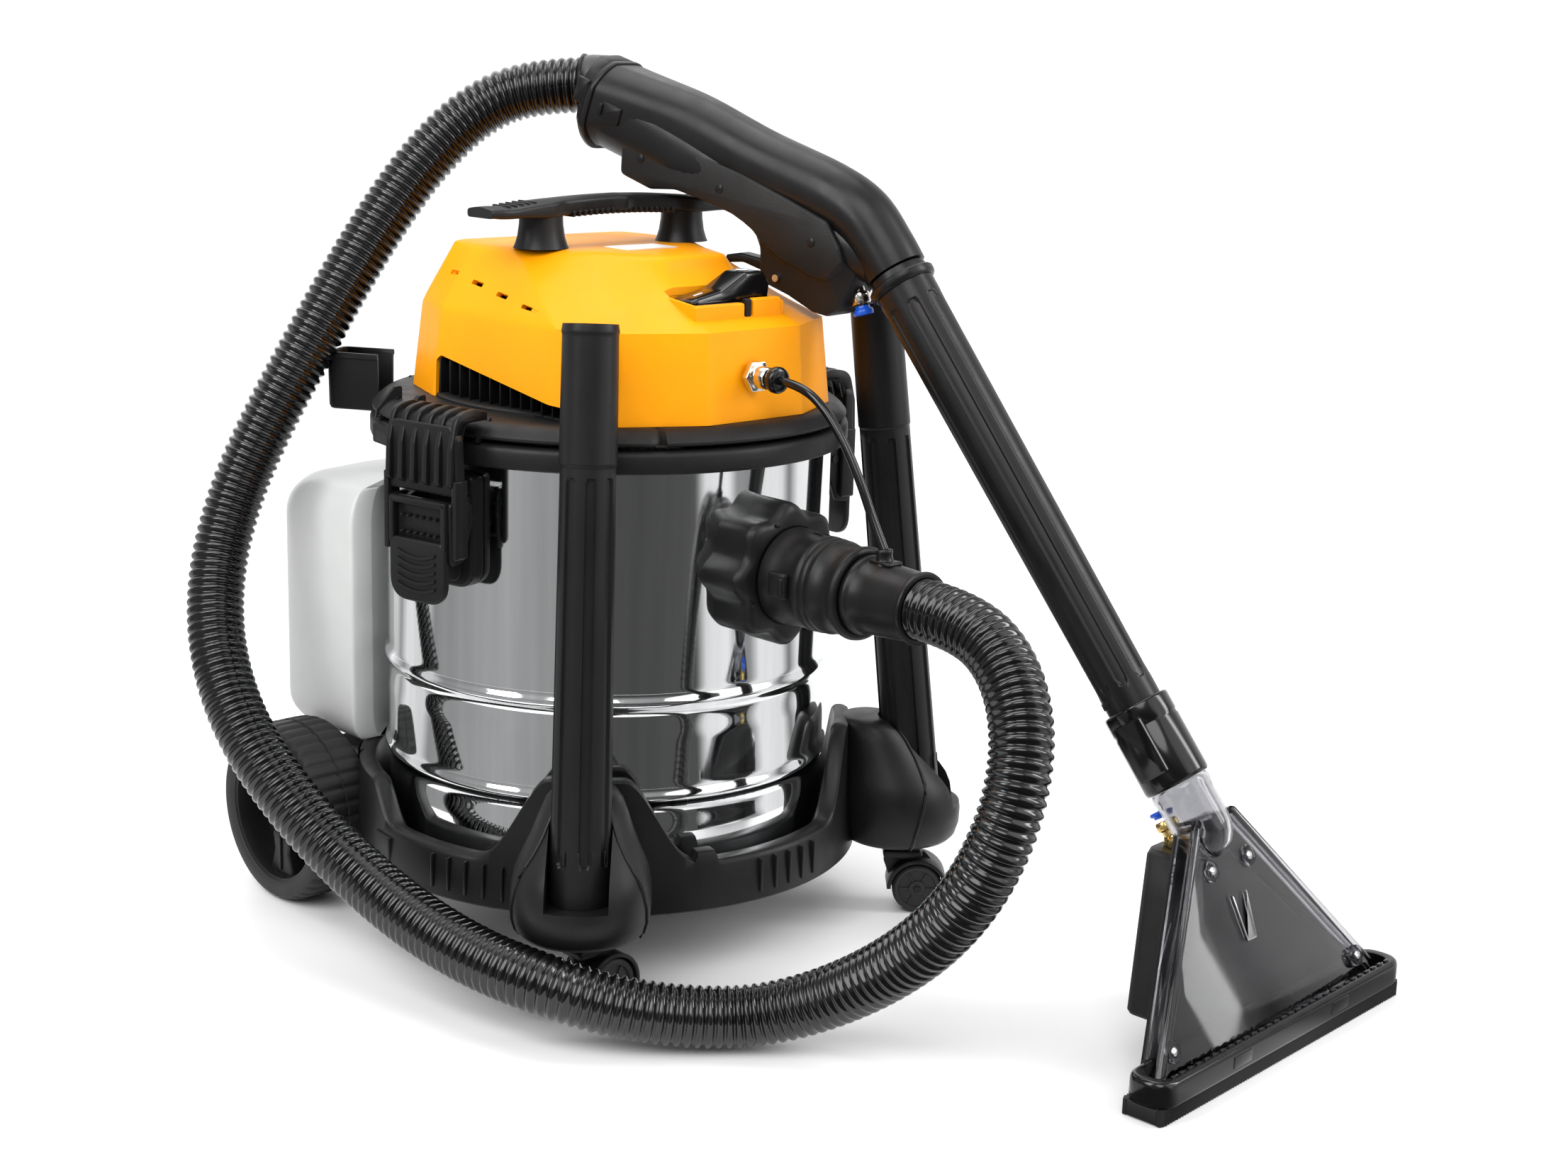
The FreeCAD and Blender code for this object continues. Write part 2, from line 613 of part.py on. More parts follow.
def connector_parts():
    """Nickel bulkhead fitting on the cover's front face, with its push-in collar."""
    spot = Vector(-4, -150.0, 410)
    hexagon = [(11.0 * math.cos(math.radians(60 * k)), 11.0 * math.sin(math.radians(60 * k))) for k in range(6)]
    nut = prism("XY_Plane", hexagon, 5.0, 0.1, frame_at(spot + Vector(0, -0.2, 0), (0, -1, 0)))
    stub = cylinder(4.8, 34.0, spot + Vector(0, 16, 0), (0, -1, 0))
    neck = cylinder(7.5, 11.0, spot + Vector(0, -5.0, 0), (0, -1, 0))
    collet = turned([(3.2, 0.0), (6.0, 0.0), (8.0, 4.0), (8.0, 8.0), (3.2, 8.0)],
                    spot + Vector(0, -18.0, 0), (0, -1, 0))
    keep(join(nut, stub, neck, collet), "solution_connector")


# ------------------------------------------------------- handle, wand, nozzle
YAW = math.radians(SIZES["wand_yaw"])
SLOPE = math.radians(SIZES["wand_slope"])


def wand_point(along, height, across=0.0):
    """A point in the upright plane of the handle and wand; along grows forwards."""
    x = SIZES["wand_x"] + along * math.sin(YAW) + across * math.cos(YAW)
    y = -along * math.cos(YAW) + across * math.sin(YAW)
    return Vector(x, y, height)


def wand_heading(down):
    """Unit direction in that plane, down radians below horizontal."""
    level = math.cos(down)
    return Vector(level * math.sin(YAW), -level * math.cos(YAW), -math.sin(down))


def across_axis():
    return Vector(math.cos(YAW), math.sin(YAW), 0)


def wand_plane(across=0.0):
    """Placement that lays the XZ plane of a body into the wand's plane, or beside it."""
    turn = Rotation(UP, SIZES["wand_yaw"] - 90.0)
    return Placement(SHIFT + Vector(SIZES["wand_x"], 0, 0) + across_axis() * across, turn)


HANDLE_STATIONS = [(-60.0, 577.5, 31.0, 19.0), (-22.0, 571.5, 27.0, 18.0), (20.0, 562.5, 24.4, 17.5),
                   (73.0, 543.0, 23.6, 18.0), (132.0, 524.5, 22.8, 20.0), (160.0, 510.5, 22.2, 34.0),
                   (178.0, 490.0, 21.8, 47.0), (187.5, 477.0, 21.6, 53.4)]


def handle_solid(change):
    """The handle's tube, its radius changed by a wall or a clearance."""
    rings = [ring_wire(wand_point(along, height), wand_heading(math.radians(down)), radius + change)
             for along, height, radius, down in HANDLE_STATIONS]
    return Part.makeLoft(rings, True, False)


fittings = []


def handle_parts():
    first = HANDLE_STATIONS[0]
    rear = wand_heading(math.radians(first[3])) * -1.0
    collar_back = wand_point(first[0], first[1]) + rear * 0.1
    hose_end = HOSE_ROUTE[-1]
    cuff = Part.makeLoft([ring_wire(hose_end, hose_end - HOSE_ROUTE[-2], 22.0),
                          ring_wire(wand_point(-80.0, 583.5), rear, 28.0),
                          ring_wire(collar_back, rear, 30.0)], True, False)
    feature("handle_cuff", cuff)
    bore = handle_solid(-2.6)
    feature("handle_tube", handle_solid(0.0).cut(bore))

    side_view = [(-31.0, 566.0), (20.0, 553.0), (74.0, 537.0), (114.0, 522.0), (146.0, 509.0), (158.0, 490.0),
                 (166.0, 474.0), (153.0, 449.0), (142.0, 443.4), (131.0, 445.2), (110.0, 455.0), (92.0, 461.0),
                 (85.5, 470.0), (85.0, 486.0), (79.0, 499.0), (66.0, 508.0), (36.0, 517.0), (16.0, 521.6),
                 (-6.0, 520.6), (-33.0, 530.0)]
    below = [(-40.0, 500.0), (78.0, 500.0), (120.0, 478.0), (180.0, 478.0), (180.0, 430.0), (-40.0, 430.0)]
    slimming = [prism("XZ_Plane", below, 20.0, placement=wand_plane(side * 26.0)) for side in (-1, 1)]
    shell = cut(prism("XZ_Plane", side_view, 49.0, placement=wand_plane()), *slimming)
    tube_space = doc.addObject("Part::Feature", "tube_space")
    tube_space.Shape = handle_solid(0.3)
    tube_space.Placement = Placement(SHIFT, Rotation())
    trigger_slot = prism("XZ_Plane", [(80.0, 458.0), (112.0, 458.0), (112.0, 482.0), (80.0, 494.0)], 15.0,
                         placement=wand_plane())
    pin_bore = cylinder(2.5, 60.0, wand_point(102.0, 467.0, -30.0), across_axis())
    valve_axis = wand_heading(math.radians(20.0))
    valve_bore = cylinder(6.2, 46.0, wand_point(111.0, 474.0), valve_axis)
    outlet_axis = wand_heading(math.radians(72.0))
    outlet = wand_point(153.5, 476.0)
    outlet_bores = [cylinder(4.1, 40.0, outlet - outlet_axis * 2.0, outlet_axis),
                    cylinder(6.6, 20.0, outlet + outlet_axis * 16.0, outlet_axis)]
    keep(cut(shell, tube_space, trigger_slot, pin_bore, valve_bore, *outlet_bores), "grip_shell")
    keep(cylinder(6.0, 34.0, wand_point(116.0, 472.2), valve_axis), "trigger_valve")

    lever = [(54.0, 475.5), (55.0, 479.0), (62.0, 480.5), (80.0, 477.5), (106.0, 473.0), (107.0, 463.5),
             (97.0, 462.0), (84.0, 469.5), (64.0, 475.0)]
    trigger = prism("XZ_Plane", lever, 13.0, placement=wand_plane())
    keep(cut(trigger, cylinder(2.56, 60.0, wand_point(102.0, 467.0, -30.0), across_axis())), "trigger")
    keep(cylinder(2.5, 40.0, wand_point(102.0, 467.0, -20.0), across_axis()), "trigger_pin")

    fittings.append(cut(join(cylinder(4.0, 20.0, outlet, outlet_axis),
                             cylinder(6.5, 8.0, outlet + outlet_axis * 17.3, outlet_axis)),
                        cylinder(3.05, 22.0, outlet + outlet_axis * 7.0, outlet_axis)))
    keep(collet_at(outlet + outlet_axis * 27.3, outlet_axis), "handle_collet")


def collet_at(start, direction):
    """Blue release ring of a push-in fitting, 6 mm bore."""
    return turned([(3.06, 0.0), (5.2, 0.0), (6.8, 2.2), (6.8, 4.6), (3.06, 4.6)], start, direction)


def wand_parts():
    top = wand_point(188.2, 476.1)
    heading = wand_heading(SLOPE)
    outer = cone(20.5, 18.5, 358.0, top + heading * 0.2, heading)
    inner = cone(18.2, 16.4, 358.0, top + heading * 0.2, heading)
    ring = cylinder(23.4, 5.0, top + heading * 6.0, heading)
    keep(cut(join(outer, ring), inner), "wand_tube")
    collar_top = top + heading * 330.0
    collar = cut(cylinder(22.6, 58.0, collar_top, heading), cylinder(18.95, 30.0, collar_top, heading),
                 cylinder(16.5, 60.0, collar_top, heading))
    keep(collar, "nozzle_collar")
    return collar_top + heading * 58.0, heading


def nozzle_frame():
    turn = Rotation(UP, SIZES["nozzle_yaw"])
    return Placement(SHIFT + Vector(SIZES["nozzle_x"], SIZES["nozzle_y"], 0), turn)


def plate_frame():
    """Local X along the shoe, Y up the tilted plate, Z out of its front."""
    stand = nozzle_frame()
    lean = Rotation(Vector(1, 0, 0), 90.0 - SIZES["plate_tilt"])
    return stand.multiply(Placement(Vector(0, 1.0, 12.0), lean))


def nozzle_parts(neck_start, heading):
    frame = plate_frame()
    height = SIZES["plate_height"]

    def fan(half_low, half_top, low, high, depth, lift):
        corners = [(-half_low, low), (half_low, low), (half_top, high), (-half_top, high)]
        return prism("XY_Plane", corners, depth, lift, frame)

    tray = fan(137.0, 21.0, 0.0, height, 14.0, -8.0)
    hollow = fan(133.0, 18.0, -5.0, height - 3.0, 12.0, -8.5)
    def neck(radius):
        """The round neck that runs down into the plate and ends in a blunt nose."""
        return turned([(0.0, 0.1), (radius, 0.1), (radius, 34.0), (radius - 3.0, 44.0), (radius - 9.5, 51.0),
                       (0.0, 54.0)], neck_start, heading)

    clear = cut(join(cut(tray, hollow), neck(19.5)), cylinder(16.5, 34.0, neck_start - heading, heading))
    keep(clear, "nozzle_clear_front")

    back = fan(137.0, 21.0, 0.0, height, 3.0, -11.4)
    duct_low = [(-98.0, 22.0), (98.0, 22.0), (98.0, 50.0), (-98.0, 50.0)]
    duct_top = [(-18.0, 50.0), (18.0, 50.0), (18.0, 94.0), (-18.0, 94.0)]
    duct = tapered([(40.0, duct_low), (118.0, duct_top)], nozzle_frame())
    front_space = fan(150.0, 60.0, -20.0, height + 40.0, 60.0, -11.2)
    lip_space = block(340.0, 140.0, 20.0, (SIZES["nozzle_x"], SIZES["nozzle_y"] + 20.0, -9.7))
    keep(cut(join(back, cut(duct, front_space)), lip_space, neck(20.0)), "nozzle_back_housing")

    half = SIZES["shoe_length"] / 2
    depth = SIZES["shoe_depth"] / 2
    rim = [(-half, -depth + 9), (-half + 9, -depth), (half - 9, -depth), (half, -depth + 9),
           (half, depth - 9), (half - 9, depth), (-half + 9, depth), (-half, depth - 9)]
    shoe = prism("XY_Plane", rim, 17.0, 10.0, nozzle_frame())
    slot_low = [(-138.0, -7.0), (138.0, -7.0), (138.0, 10.0), (-138.0, 10.0)]
    slot = prism("XY_Plane", slot_low, 40.0, 0.0, nozzle_frame())
    seat = fan(138.0, 138.0, -6.0, 60.0, 18.4, -11.6)
    keep(cut(shoe, slot, seat), "nozzle_shoe")
    lips = [prism("XY_Plane", [(-142.0, y), (142.0, y), (142.0, y + 4.0), (-142.0, y + 4.0)], 9.9, 0.0,
                  nozzle_frame()) for y in (-13.0, 11.0)]
    keep(join(*lips), "nozzle_lips")

    fitting_axis = nozzle_frame().Rotation.multVec(Vector(0, 0.6, 0.8))
    fitting_foot = nozzle_frame().multVec(Vector(0, 82.0, 118.1)) - SHIFT
    fitting = join(cylinder(6.0, 9.0, fitting_foot),
                   cylinder(4.6, 14.5, fitting_foot + Vector(0, 0, 2.0) + fitting_axis * 1.5, fitting_axis))
    bore = cylinder(3.05, 30.0, fitting_foot + Vector(0, 0, 2.0) + fitting_axis * 6.0, fitting_axis)
    fittings.append(cut(fitting, bore))
    keep(join(*fittings), "push_in_fittings")
    keep(collet_at(fitting_foot + Vector(0, 0, 2.0) + fitting_axis * 18.2, fitting_axis), "nozzle_collet")

    screws = []
    for x, v in ((-112.0, 20.0), (112.0, 20.0), (-22.0, 112.0), (22.0, 112.0)):
        spot = frame.multVec(Vector(x, v, 3.6)) - SHIFT
        out = frame.Rotation.multVec(Vector(0, 0, 1))
        screws.append(cylinder(3.2, 2.0, spot + out * 2.5, out))
    keep(join(*screws), "nozzle_screws")


# ----------------------------------------------------------------------- hoses
# The suction hose from the machine's cuff, down to the floor, past the left side
# and up over to the handle: points chosen along the way it lies.
HOSE_ROUTE = [Vector(*p) for p in (
    (0, -306.3, 281), (-0.5, -345, 280.5), (-9, -385, 264), (-24, -413, 232), (-40, -422, 190),
    (-52, -412, 145), (-58, -385, 103), (-64, -346, 66), (-77, -304, 37), (-101, -270, 22),
    (-133, -245, 22), (-169, -217, 29), (-202, -182, 42), (-214, -126, 46), (-220, -62, 56),
    (-226, 2, 77), (-238, 52, 110), (-244, 102, 150), (-237, 145, 196), (-220, 172, 246),
    (-196, 182, 300), (-170, 177, 352), (-142, 169, 402), (-112, 166, 448), (-80, 164, 492),
    (-48, 158, 533), (-14, 143, 569), (18, 118, 588), (42.5, 85, 590))]
WATER_ROUTE = [Vector(*p) for p in (
    (-4, -176.2, 410), (-4, -194, 409), (-3, -214, 399), (-2, -232, 380), (-1, -248, 355),
    (0, -261, 328), (0, -270.6, 312.8))]


def tube_along(route, radius, name):
    """A round tube on straight runs joined by the largest tangent arcs that fit."""
    edges = []
    start = route[0]
    tightest = math.inf
    for before, corner, after in zip(route, route[1:], route[2:]):
        arrive, leave = corner - before, after - corner
        shorter = min(arrive.Length, leave.Length)
        half_turn = arrive.getAngle(leave) / 2
        setback = 0.45 * shorter
        bend = setback / math.tan(half_turn)
        tightest = min(tightest, bend)
        enter = corner - arrive.normalize() * setback
        depart = corner + leave.normalize() * setback
        middle_way = (enter + depart) * 0.5 - corner
        deep = bend / math.cos(half_turn) - bend
        middle = corner + middle_way.normalize() * deep
        edges.append(Part.LineSegment(start, enter).toShape())
        edges.append(Part.Arc(enter, middle, depart).toShape())
        start = depart
    edges.append(Part.LineSegment(start, route[-1]).toShape())
    path = Part.Wire(edges)
    length = path.Length
    section = ring_wire(route[0], route[1] - route[0], radius)
    tube = path.makePipeShell([section], True, True)
    expected = math.pi * radius ** 2 * length
    print("%s: length %.1f, tightest radius %.1f, volume ratio %.4f"
          % (name, length, tightest, tube.Volume / expected))
    return tube


def hoses():
    feature("suction_hose", tube_along(HOSE_ROUTE, SIZES["hose_radius"], "suction_hose"))
    feature("solution_hose", tube_along(WATER_ROUTE, SIZES["water_tube_radius"], "solution_hose"))


# ---------------------------------------------------------------------- export
def check_and_export():
    os.makedirs("parts", exist_ok=True)
    failed = [o.Name for o in doc.Objects if "Invalid" in o.State or "Error" in o.State]
    if failed:
        raise SystemExit("failed features: %s" % failed)
    for node in nodes:
        shape = node.Shape
        if shape.isNull() or not shape.isValid() or not shape.Solids:
            raise SystemExit("bad shape: %s" % node.Label)
        shape.exportStep("parts/%s.step" % node.Label)
    print("%d sub-parts written" % len(nodes))


def main():
    drum_parts()
    lid_parts()
    cover_parts()
    switch_parts()
    carry_handle()
    motor_parts()
    base_parts()
    castor_parts()
    rear_wheels()
    parked_tubes()
    latch_parts()
    inlet_parts()
    tank_parts()
    connector_parts()
    handle_parts()
    nozzle_parts(*wand_parts())
    hoses()
    doc.recompute()
    check_and_export()


main()
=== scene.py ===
"""Looks of a wet carpet-cleaning drum machine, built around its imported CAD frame.

Places are millimetres from the drum's axis on the floor, as the CAD part has them: the
hose inlet faces -Y and +Z is up. at() turns such a place into metres in the row frame.
"""

import json
import math

import bmesh
import bpy
from mathutils import Matrix, Vector, noise


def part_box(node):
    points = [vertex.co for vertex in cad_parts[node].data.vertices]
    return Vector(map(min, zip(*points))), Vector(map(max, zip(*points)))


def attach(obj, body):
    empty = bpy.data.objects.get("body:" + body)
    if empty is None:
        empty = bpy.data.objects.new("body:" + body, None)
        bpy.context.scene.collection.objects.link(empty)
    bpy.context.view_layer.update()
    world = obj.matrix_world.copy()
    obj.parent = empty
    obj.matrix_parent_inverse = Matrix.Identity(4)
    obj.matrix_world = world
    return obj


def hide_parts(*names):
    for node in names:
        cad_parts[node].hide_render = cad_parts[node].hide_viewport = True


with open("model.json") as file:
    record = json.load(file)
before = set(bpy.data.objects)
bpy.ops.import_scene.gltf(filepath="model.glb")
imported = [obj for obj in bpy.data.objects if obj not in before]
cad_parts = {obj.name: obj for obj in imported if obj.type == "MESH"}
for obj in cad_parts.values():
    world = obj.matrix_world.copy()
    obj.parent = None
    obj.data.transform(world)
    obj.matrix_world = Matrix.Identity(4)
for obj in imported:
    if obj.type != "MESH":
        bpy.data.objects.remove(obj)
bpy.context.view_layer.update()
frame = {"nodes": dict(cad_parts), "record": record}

MM = 0.001
drum_low, drum_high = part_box("drum_tank")
AXIS = (drum_low + drum_high) / 2


def at(x, y, z):
    """A place in millimetres from the drum's axis, in metres in the row frame."""
    return Vector((AXIS.x + x * MM, AXIS.y + y * MM, z * MM))


# ---------------------------------------------------------------------- camera
EYE = (-1066.4, -1261.8, 634.0)
FORWARD = Vector((0.6831, 0.6924, -0.2326)).normalized()
UPWARD = Vector((0.1417, 0.1868, 0.9722))
SENSOR = 36.0
LENS = 53.66


def make_camera():
    data = bpy.data.cameras.new("camera")
    data.sensor_width = SENSOR
    data.lens = LENS
    data.clip_end = 50.0
    camera = bpy.data.objects.new("camera", data)
    bpy.context.scene.collection.objects.link(camera)
    right = FORWARD.cross(UPWARD).normalized()
    upward = right.cross(FORWARD)
    turn = Matrix((right, upward, -FORWARD)).transposed()
    camera.matrix_world = Matrix.Translation(at(*EYE)) @ turn.to_4x4()
    bpy.context.scene.camera = camera


# ------------------------------------------------------------------- materials
def shader(name):
    material = bpy.data.materials.new(name)
    material.use_nodes = True
    tree = material.node_tree
    return material, tree, tree.nodes["Principled BSDF"]


def texture(tree, kind, scale, detail=2.0, stretch=(1, 1, 1)):
    """A noise-like texture in the object's own metres."""
    place = tree.nodes.new("ShaderNodeTexCoord")
    mapping = tree.nodes.new("ShaderNodeMapping")
    mapping.inputs["Scale"].default_value = stretch
    tree.links.new(place.outputs["Object"], mapping.inputs["Vector"])
    made = tree.nodes.new(kind)
    made.inputs["Scale"].default_value = scale
    if "Detail" in made.inputs:
        made.inputs["Detail"].default_value = detail
    tree.links.new(mapping.outputs["Vector"], made.inputs["Vector"])
    return made


def output(node):
    return node.outputs["Fac"] if "Fac" in node.outputs else node.outputs["Distance"]


def ramp(tree, source, low, high):
    """Maps a 0..1 texture onto a range of numbers."""
    node = tree.nodes.new("ShaderNodeMapRange")
    node.inputs["From Min"].default_value = 0.3
    node.inputs["From Max"].default_value = 0.7
    node.inputs["To Min"].default_value = low
    node.inputs["To Max"].default_value = high
    tree.links.new(output(source), node.inputs["Value"])
    return node.outputs["Result"]


def shades(tree, source, dark, light):
    """Maps a 0..1 texture onto two colours."""
    node = tree.nodes.new("ShaderNodeValToRGB")
    node.color_ramp.elements[0].position = 0.32
    node.color_ramp.elements[1].position = 0.68
    node.color_ramp.elements[0].color = (*dark, 1.0)
    node.color_ramp.elements[1].color = (*light, 1.0)
    tree.links.new(output(source), node.inputs["Fac"])
    return node.outputs["Color"]


def bump(tree, principled, source, height, previous=None):
    node = tree.nodes.new("ShaderNodeBump")
    node.inputs["Strength"].default_value = 1.0
    node.inputs["Distance"].default_value = height
    tree.links.new(output(source), node.inputs["Height"])
    if previous:
        tree.links.new(previous.outputs["Normal"], node.inputs["Normal"])
    tree.links.new(node.outputs["Normal"], principled.inputs["Normal"])
    return node


def scaled(colour, factor):
    return tuple(min(1.0, c * factor) for c in colour)


def plastic(name, colour, rough, grain=1400.0, depth=0.00004, spread=0.06, coat=0.0, cloudy=0.14, shine=0.28):
    """Moulded plastic: fine grain, slight clouding and worn, uneven gloss."""
    material, tree, principled = shader(name)
    cloud = texture(tree, "ShaderNodeTexNoise", 22.0, 4.0)
    tree.links.new(shades(tree, cloud, scaled(colour, 1 - cloudy), scaled(colour, 1 + cloudy)), principled.inputs["Base Color"])
    smear = texture(tree, "ShaderNodeTexNoise", 60.0, 3.0, (1, 1, 0.35))
    tree.links.new(ramp(tree, smear, rough - spread, rough + spread), principled.inputs["Roughness"])
    bump(tree, principled, texture(tree, "ShaderNodeTexNoise", grain, 2.0), depth)
    principled.inputs["Specular IOR Level"].default_value = shine
    principled.inputs["Coat Weight"].default_value = coat
    principled.inputs["Coat Roughness"].default_value = 0.12
    return material


def metal(name, colour, rough, streak=(1, 1, 0.05), scale=90.0, depth=0.0):
    """Polished or drawn metal with faint streaks in its gloss."""
    material, tree, principled = shader(name)
    principled.inputs["Metallic"].default_value = 1.0
    lines = texture(tree, "ShaderNodeTexNoise", scale, 5.0, streak)
    tree.links.new(shades(tree, lines, scaled(colour, 0.93), scaled(colour, 1.04)), principled.inputs["Base Color"])
    tree.links.new(ramp(tree, lines, rough * 0.6, rough * 1.5), principled.inputs["Roughness"])
    if depth:
        bump(tree, principled, texture(tree, "ShaderNodeTexNoise", 7.0, 1.0, (1, 1, 0.4)), depth)
    return material


def milky(name):
    material, tree, principled = shader(name)
    cloud = texture(tree, "ShaderNodeTexNoise", 9.0, 3.0)
    tree.links.new(shades(tree, cloud, (0.58, 0.59, 0.59), (0.70, 0.71, 0.70)), principled.inputs["Base Color"])
    tree.links.new(ramp(tree, cloud, 0.28, 0.4), principled.inputs["Roughness"])
    principled.inputs["Subsurface Weight"].default_value = 0.35
    principled.inputs["Subsurface Radius"].default_value = (0.02, 0.02, 0.018)
    principled.inputs["Subsurface Scale"].default_value = 0.6
    principled.inputs["Transmission Weight"].default_value = 0.18
    bump(tree, principled, texture(tree, "ShaderNodeTexNoise", 120.0, 2.0), 0.00008)
    return material


def clear(name):
    material, tree, principled = shader(name)
    principled.inputs["Transmission Weight"].default_value = 1.0
    principled.inputs["IOR"].default_value = 1.36
    flow = texture(tree, "ShaderNodeTexNoise", 16.0, 3.0)
    tree.links.new(shades(tree, flow, (0.50, 0.50, 0.52), (0.60, 0.60, 0.62)), principled.inputs["Base Color"])
    tree.links.new(ramp(tree, flow, 0.03, 0.09), principled.inputs["Roughness"])
    bump(tree, principled, texture(tree, "ShaderNodeTexNoise", 26.0, 1.0), 0.00003)
    return material


def rubber(name, colour):
    material, tree, principled = shader(name)
    dust = texture(tree, "ShaderNodeTexNoise", 35.0, 5.0)
    tree.links.new(shades(tree, dust, scaled(colour, 0.8), scaled(colour, 1.5)), principled.inputs["Base Color"])
    tree.links.new(ramp(tree, dust, 0.5, 0.72), principled.inputs["Roughness"])
    bump(tree, principled, texture(tree, "ShaderNodeTexNoise", 900.0, 3.0), 0.00006)
    return material


def felt(name):
    material, tree, principled = shader(name)
    fibres = texture(tree, "ShaderNodeTexVoronoi", 700.0)
    tree.links.new(shades(tree, fibres, (0.55, 0.55, 0.52), (0.8, 0.8, 0.77)), principled.inputs["Base Color"])
    principled.inputs["Roughness"].default_value = 0.95
    bump(tree, principled, fibres, 0.0003)
    return material


LOOKS = {
    "drum_shell": metal("drum_shell", (0.80, 0.81, 0.82), 0.055, (1, 1, 0.04), 110.0, 0.0009),
    "black_plastic": plastic("black_plastic", (0.0075, 0.0075, 0.008), 0.40, 1500.0, 0.00005),
    "dark_plastic": plastic("dark_plastic", (0.007, 0.007, 0.0075), 0.34, 900.0, 0.00003),
    "gloss_black": plastic("gloss_black", (0.004, 0.004, 0.0045), 0.16, 200.0, 0.00002, 0.04, 0.3),
    "grained_black": plastic("grained_black", (0.0095, 0.009, 0.009), 0.50, 1100.0, 0.00012),
    "yellow_plastic": plastic("yellow_plastic", (0.93, 0.335, 0.002), 0.42, 500.0, 0.00002, 0.05, 0.0, 0.03, 0.14),
    "hose": plastic("hose", (0.003, 0.003, 0.0035), 0.15, 300.0, 0.00001, 0.04, 0.3, 0.14, 0.45),
    "rubber": rubber("rubber", (0.008, 0.008, 0.008)),
    "tread": rubber("tread", (0.009, 0.009, 0.009)),
    "tank_plastic": milky("tank_plastic"),
    "clear": clear("clear"),
    "nickel": metal("nickel", (0.74, 0.70, 0.64), 0.16, (1, 1, 1), 300.0),
    "brass": metal("brass", (0.83, 0.60, 0.22), 0.20, (1, 1, 1), 300.0),
    "steel": metal("steel", (0.56, 0.56, 0.57), 0.22, (1, 1, 1), 260.0),
    "motor_metal": metal("motor_metal", (0.55, 0.55, 0.57), 0.4, (1, 1, 1), 200.0),
    "blue_plastic": plastic("blue_plastic", (0.012, 0.10, 0.62), 0.25, 300.0, 0.00001, 0.04, 0.3),
    "grey_plastic": plastic("grey_plastic", (0.22, 0.23, 0.24), 0.42),
    "label": plastic("label", (0.78, 0.78, 0.77), 0.35, 300.0, 0.00001),
    "white_print": plastic("white_print", (0.75, 0.75, 0.74), 0.45, 400.0, 0.00001),
    "filter_cloth": felt("filter_cloth"),
}


# ----------------------------------------------------------------- mesh tools
class Shape:
    """Points (millimetres) and faces gathered before they become one piece."""

    def __init__(self):
        self.points = []
        self.faces = []

    def add(self, points, faces, place=None):
        start = len(self.points)
        place = place or Matrix.Identity(4)
        self.points += [place @ Vector(p) for p in points]
        self.faces += [tuple(i + start for i in face) for face in faces]
        return self

    def loft(self, rings, caps=(True, True), closed=False, place=None):
        """Skin through rings of equal count; closed joins the last ring to the first."""
        count = len(rings[0])
        points = [p for ring in rings for p in ring]
        faces = []
        steps = len(rings) if closed else len(rings) - 1
        for i in range(steps):
            a, b = i * count, (i + 1) % len(rings) * count
            faces += [(a + j, a + (j + 1) % count, b + (j + 1) % count, b + j) for j in range(count)]
        if not closed:
            if caps[0]:
                faces.append(tuple(range(count))[::-1])
            if caps[1]:
                faces.append(tuple(range((len(rings) - 1) * count, len(rings) * count)))
        return self.add(points, faces, place)

    def lathe(self, profile, segments=64, place=None, closed=True, wobble=None):
        """Turn (radius, height) points about local Z; wobble(angle, radius, height) changes a radius."""
        rings = []
        for radius, height in profile:
            ring = []
            for k in range(segments):
                angle = math.tau * k / segments
                r = wobble(angle, radius, height) if wobble else radius
                ring.append((r * math.cos(angle), r * math.sin(angle), height))
            rings.append(ring)
        return self.loft(rings, (False, False), closed, place)

    def disc_lathe(self, profile, segments=64, place=None):
        """As lathe, with both ends closed flat."""
        rings = [[(r * math.cos(math.tau * k / segments), r * math.sin(math.tau * k / segments), h)
                  for k in range(segments)] for r, h in profile]
        return self.loft(rings, (True, True), False, place)

    def prism(self, outline, low, high, place=None):
        rings = [[(x, y, level) for x, y in outline] for level in (low, high)]
        return self.loft(rings, place=place)

    def pillow(self, outline, low, high, edge, place=None, steps=3):
        """A prism whose two rims are rounded by edge."""
        levels = [(low + edge * (1 - math.cos(t)), edge * (1 - math.sin(t)))
                  for t in (math.pi / 2 * k / steps for k in range(steps + 1))]
        levels += [(high - (z - low), inset) for z, inset in levels[::-1]]
        rings = [[(x, y, z) for x, y in shrink(outline, inset)] for z, inset in levels]
        return self.loft(rings, place=place)

    def block(self, centre, size, edge=1.0, place=None):
        """A box with rounded upright and level edges, centred on centre."""
        x, y, z = centre
        dx, dy, dz = (s / 2 for s in size)
        corners = rounded([(x - dx, y - dy), (x + dx, y - dy), (x + dx, y + dy), (x - dx, y + dy)], edge * 1.2, 3)
        return self.pillow(corners, z - dz, z + dz, edge, place, 2)


def rounded(corners, radius, steps=5):
    """Round a polygon's corners with arcs; a corner may carry its own radius as a third value."""
    count = len(corners)
    points = []
    for i, corner in enumerate(corners):
        own = corner[2] if len(corner) > 2 else radius
        here = Vector(corner[:2])
        back = Vector(corners[i - 1][:2]) - here
        ahead = Vector(corners[(i + 1) % count][:2]) - here
        reach = min(back.length, ahead.length) * 0.48
        half = back.angle(ahead) / 2
        setback = min(reach, own / math.tan(half)) if own else 0.0
        start = here + back.normalized() * setback
        end = here + ahead.normalized() * setback
        for k in range(steps + 1):
            t = k / steps
            points.append(tuple(start * (1 - t) ** 2 + here * 2 * t * (1 - t) + end * t * t))
    return points


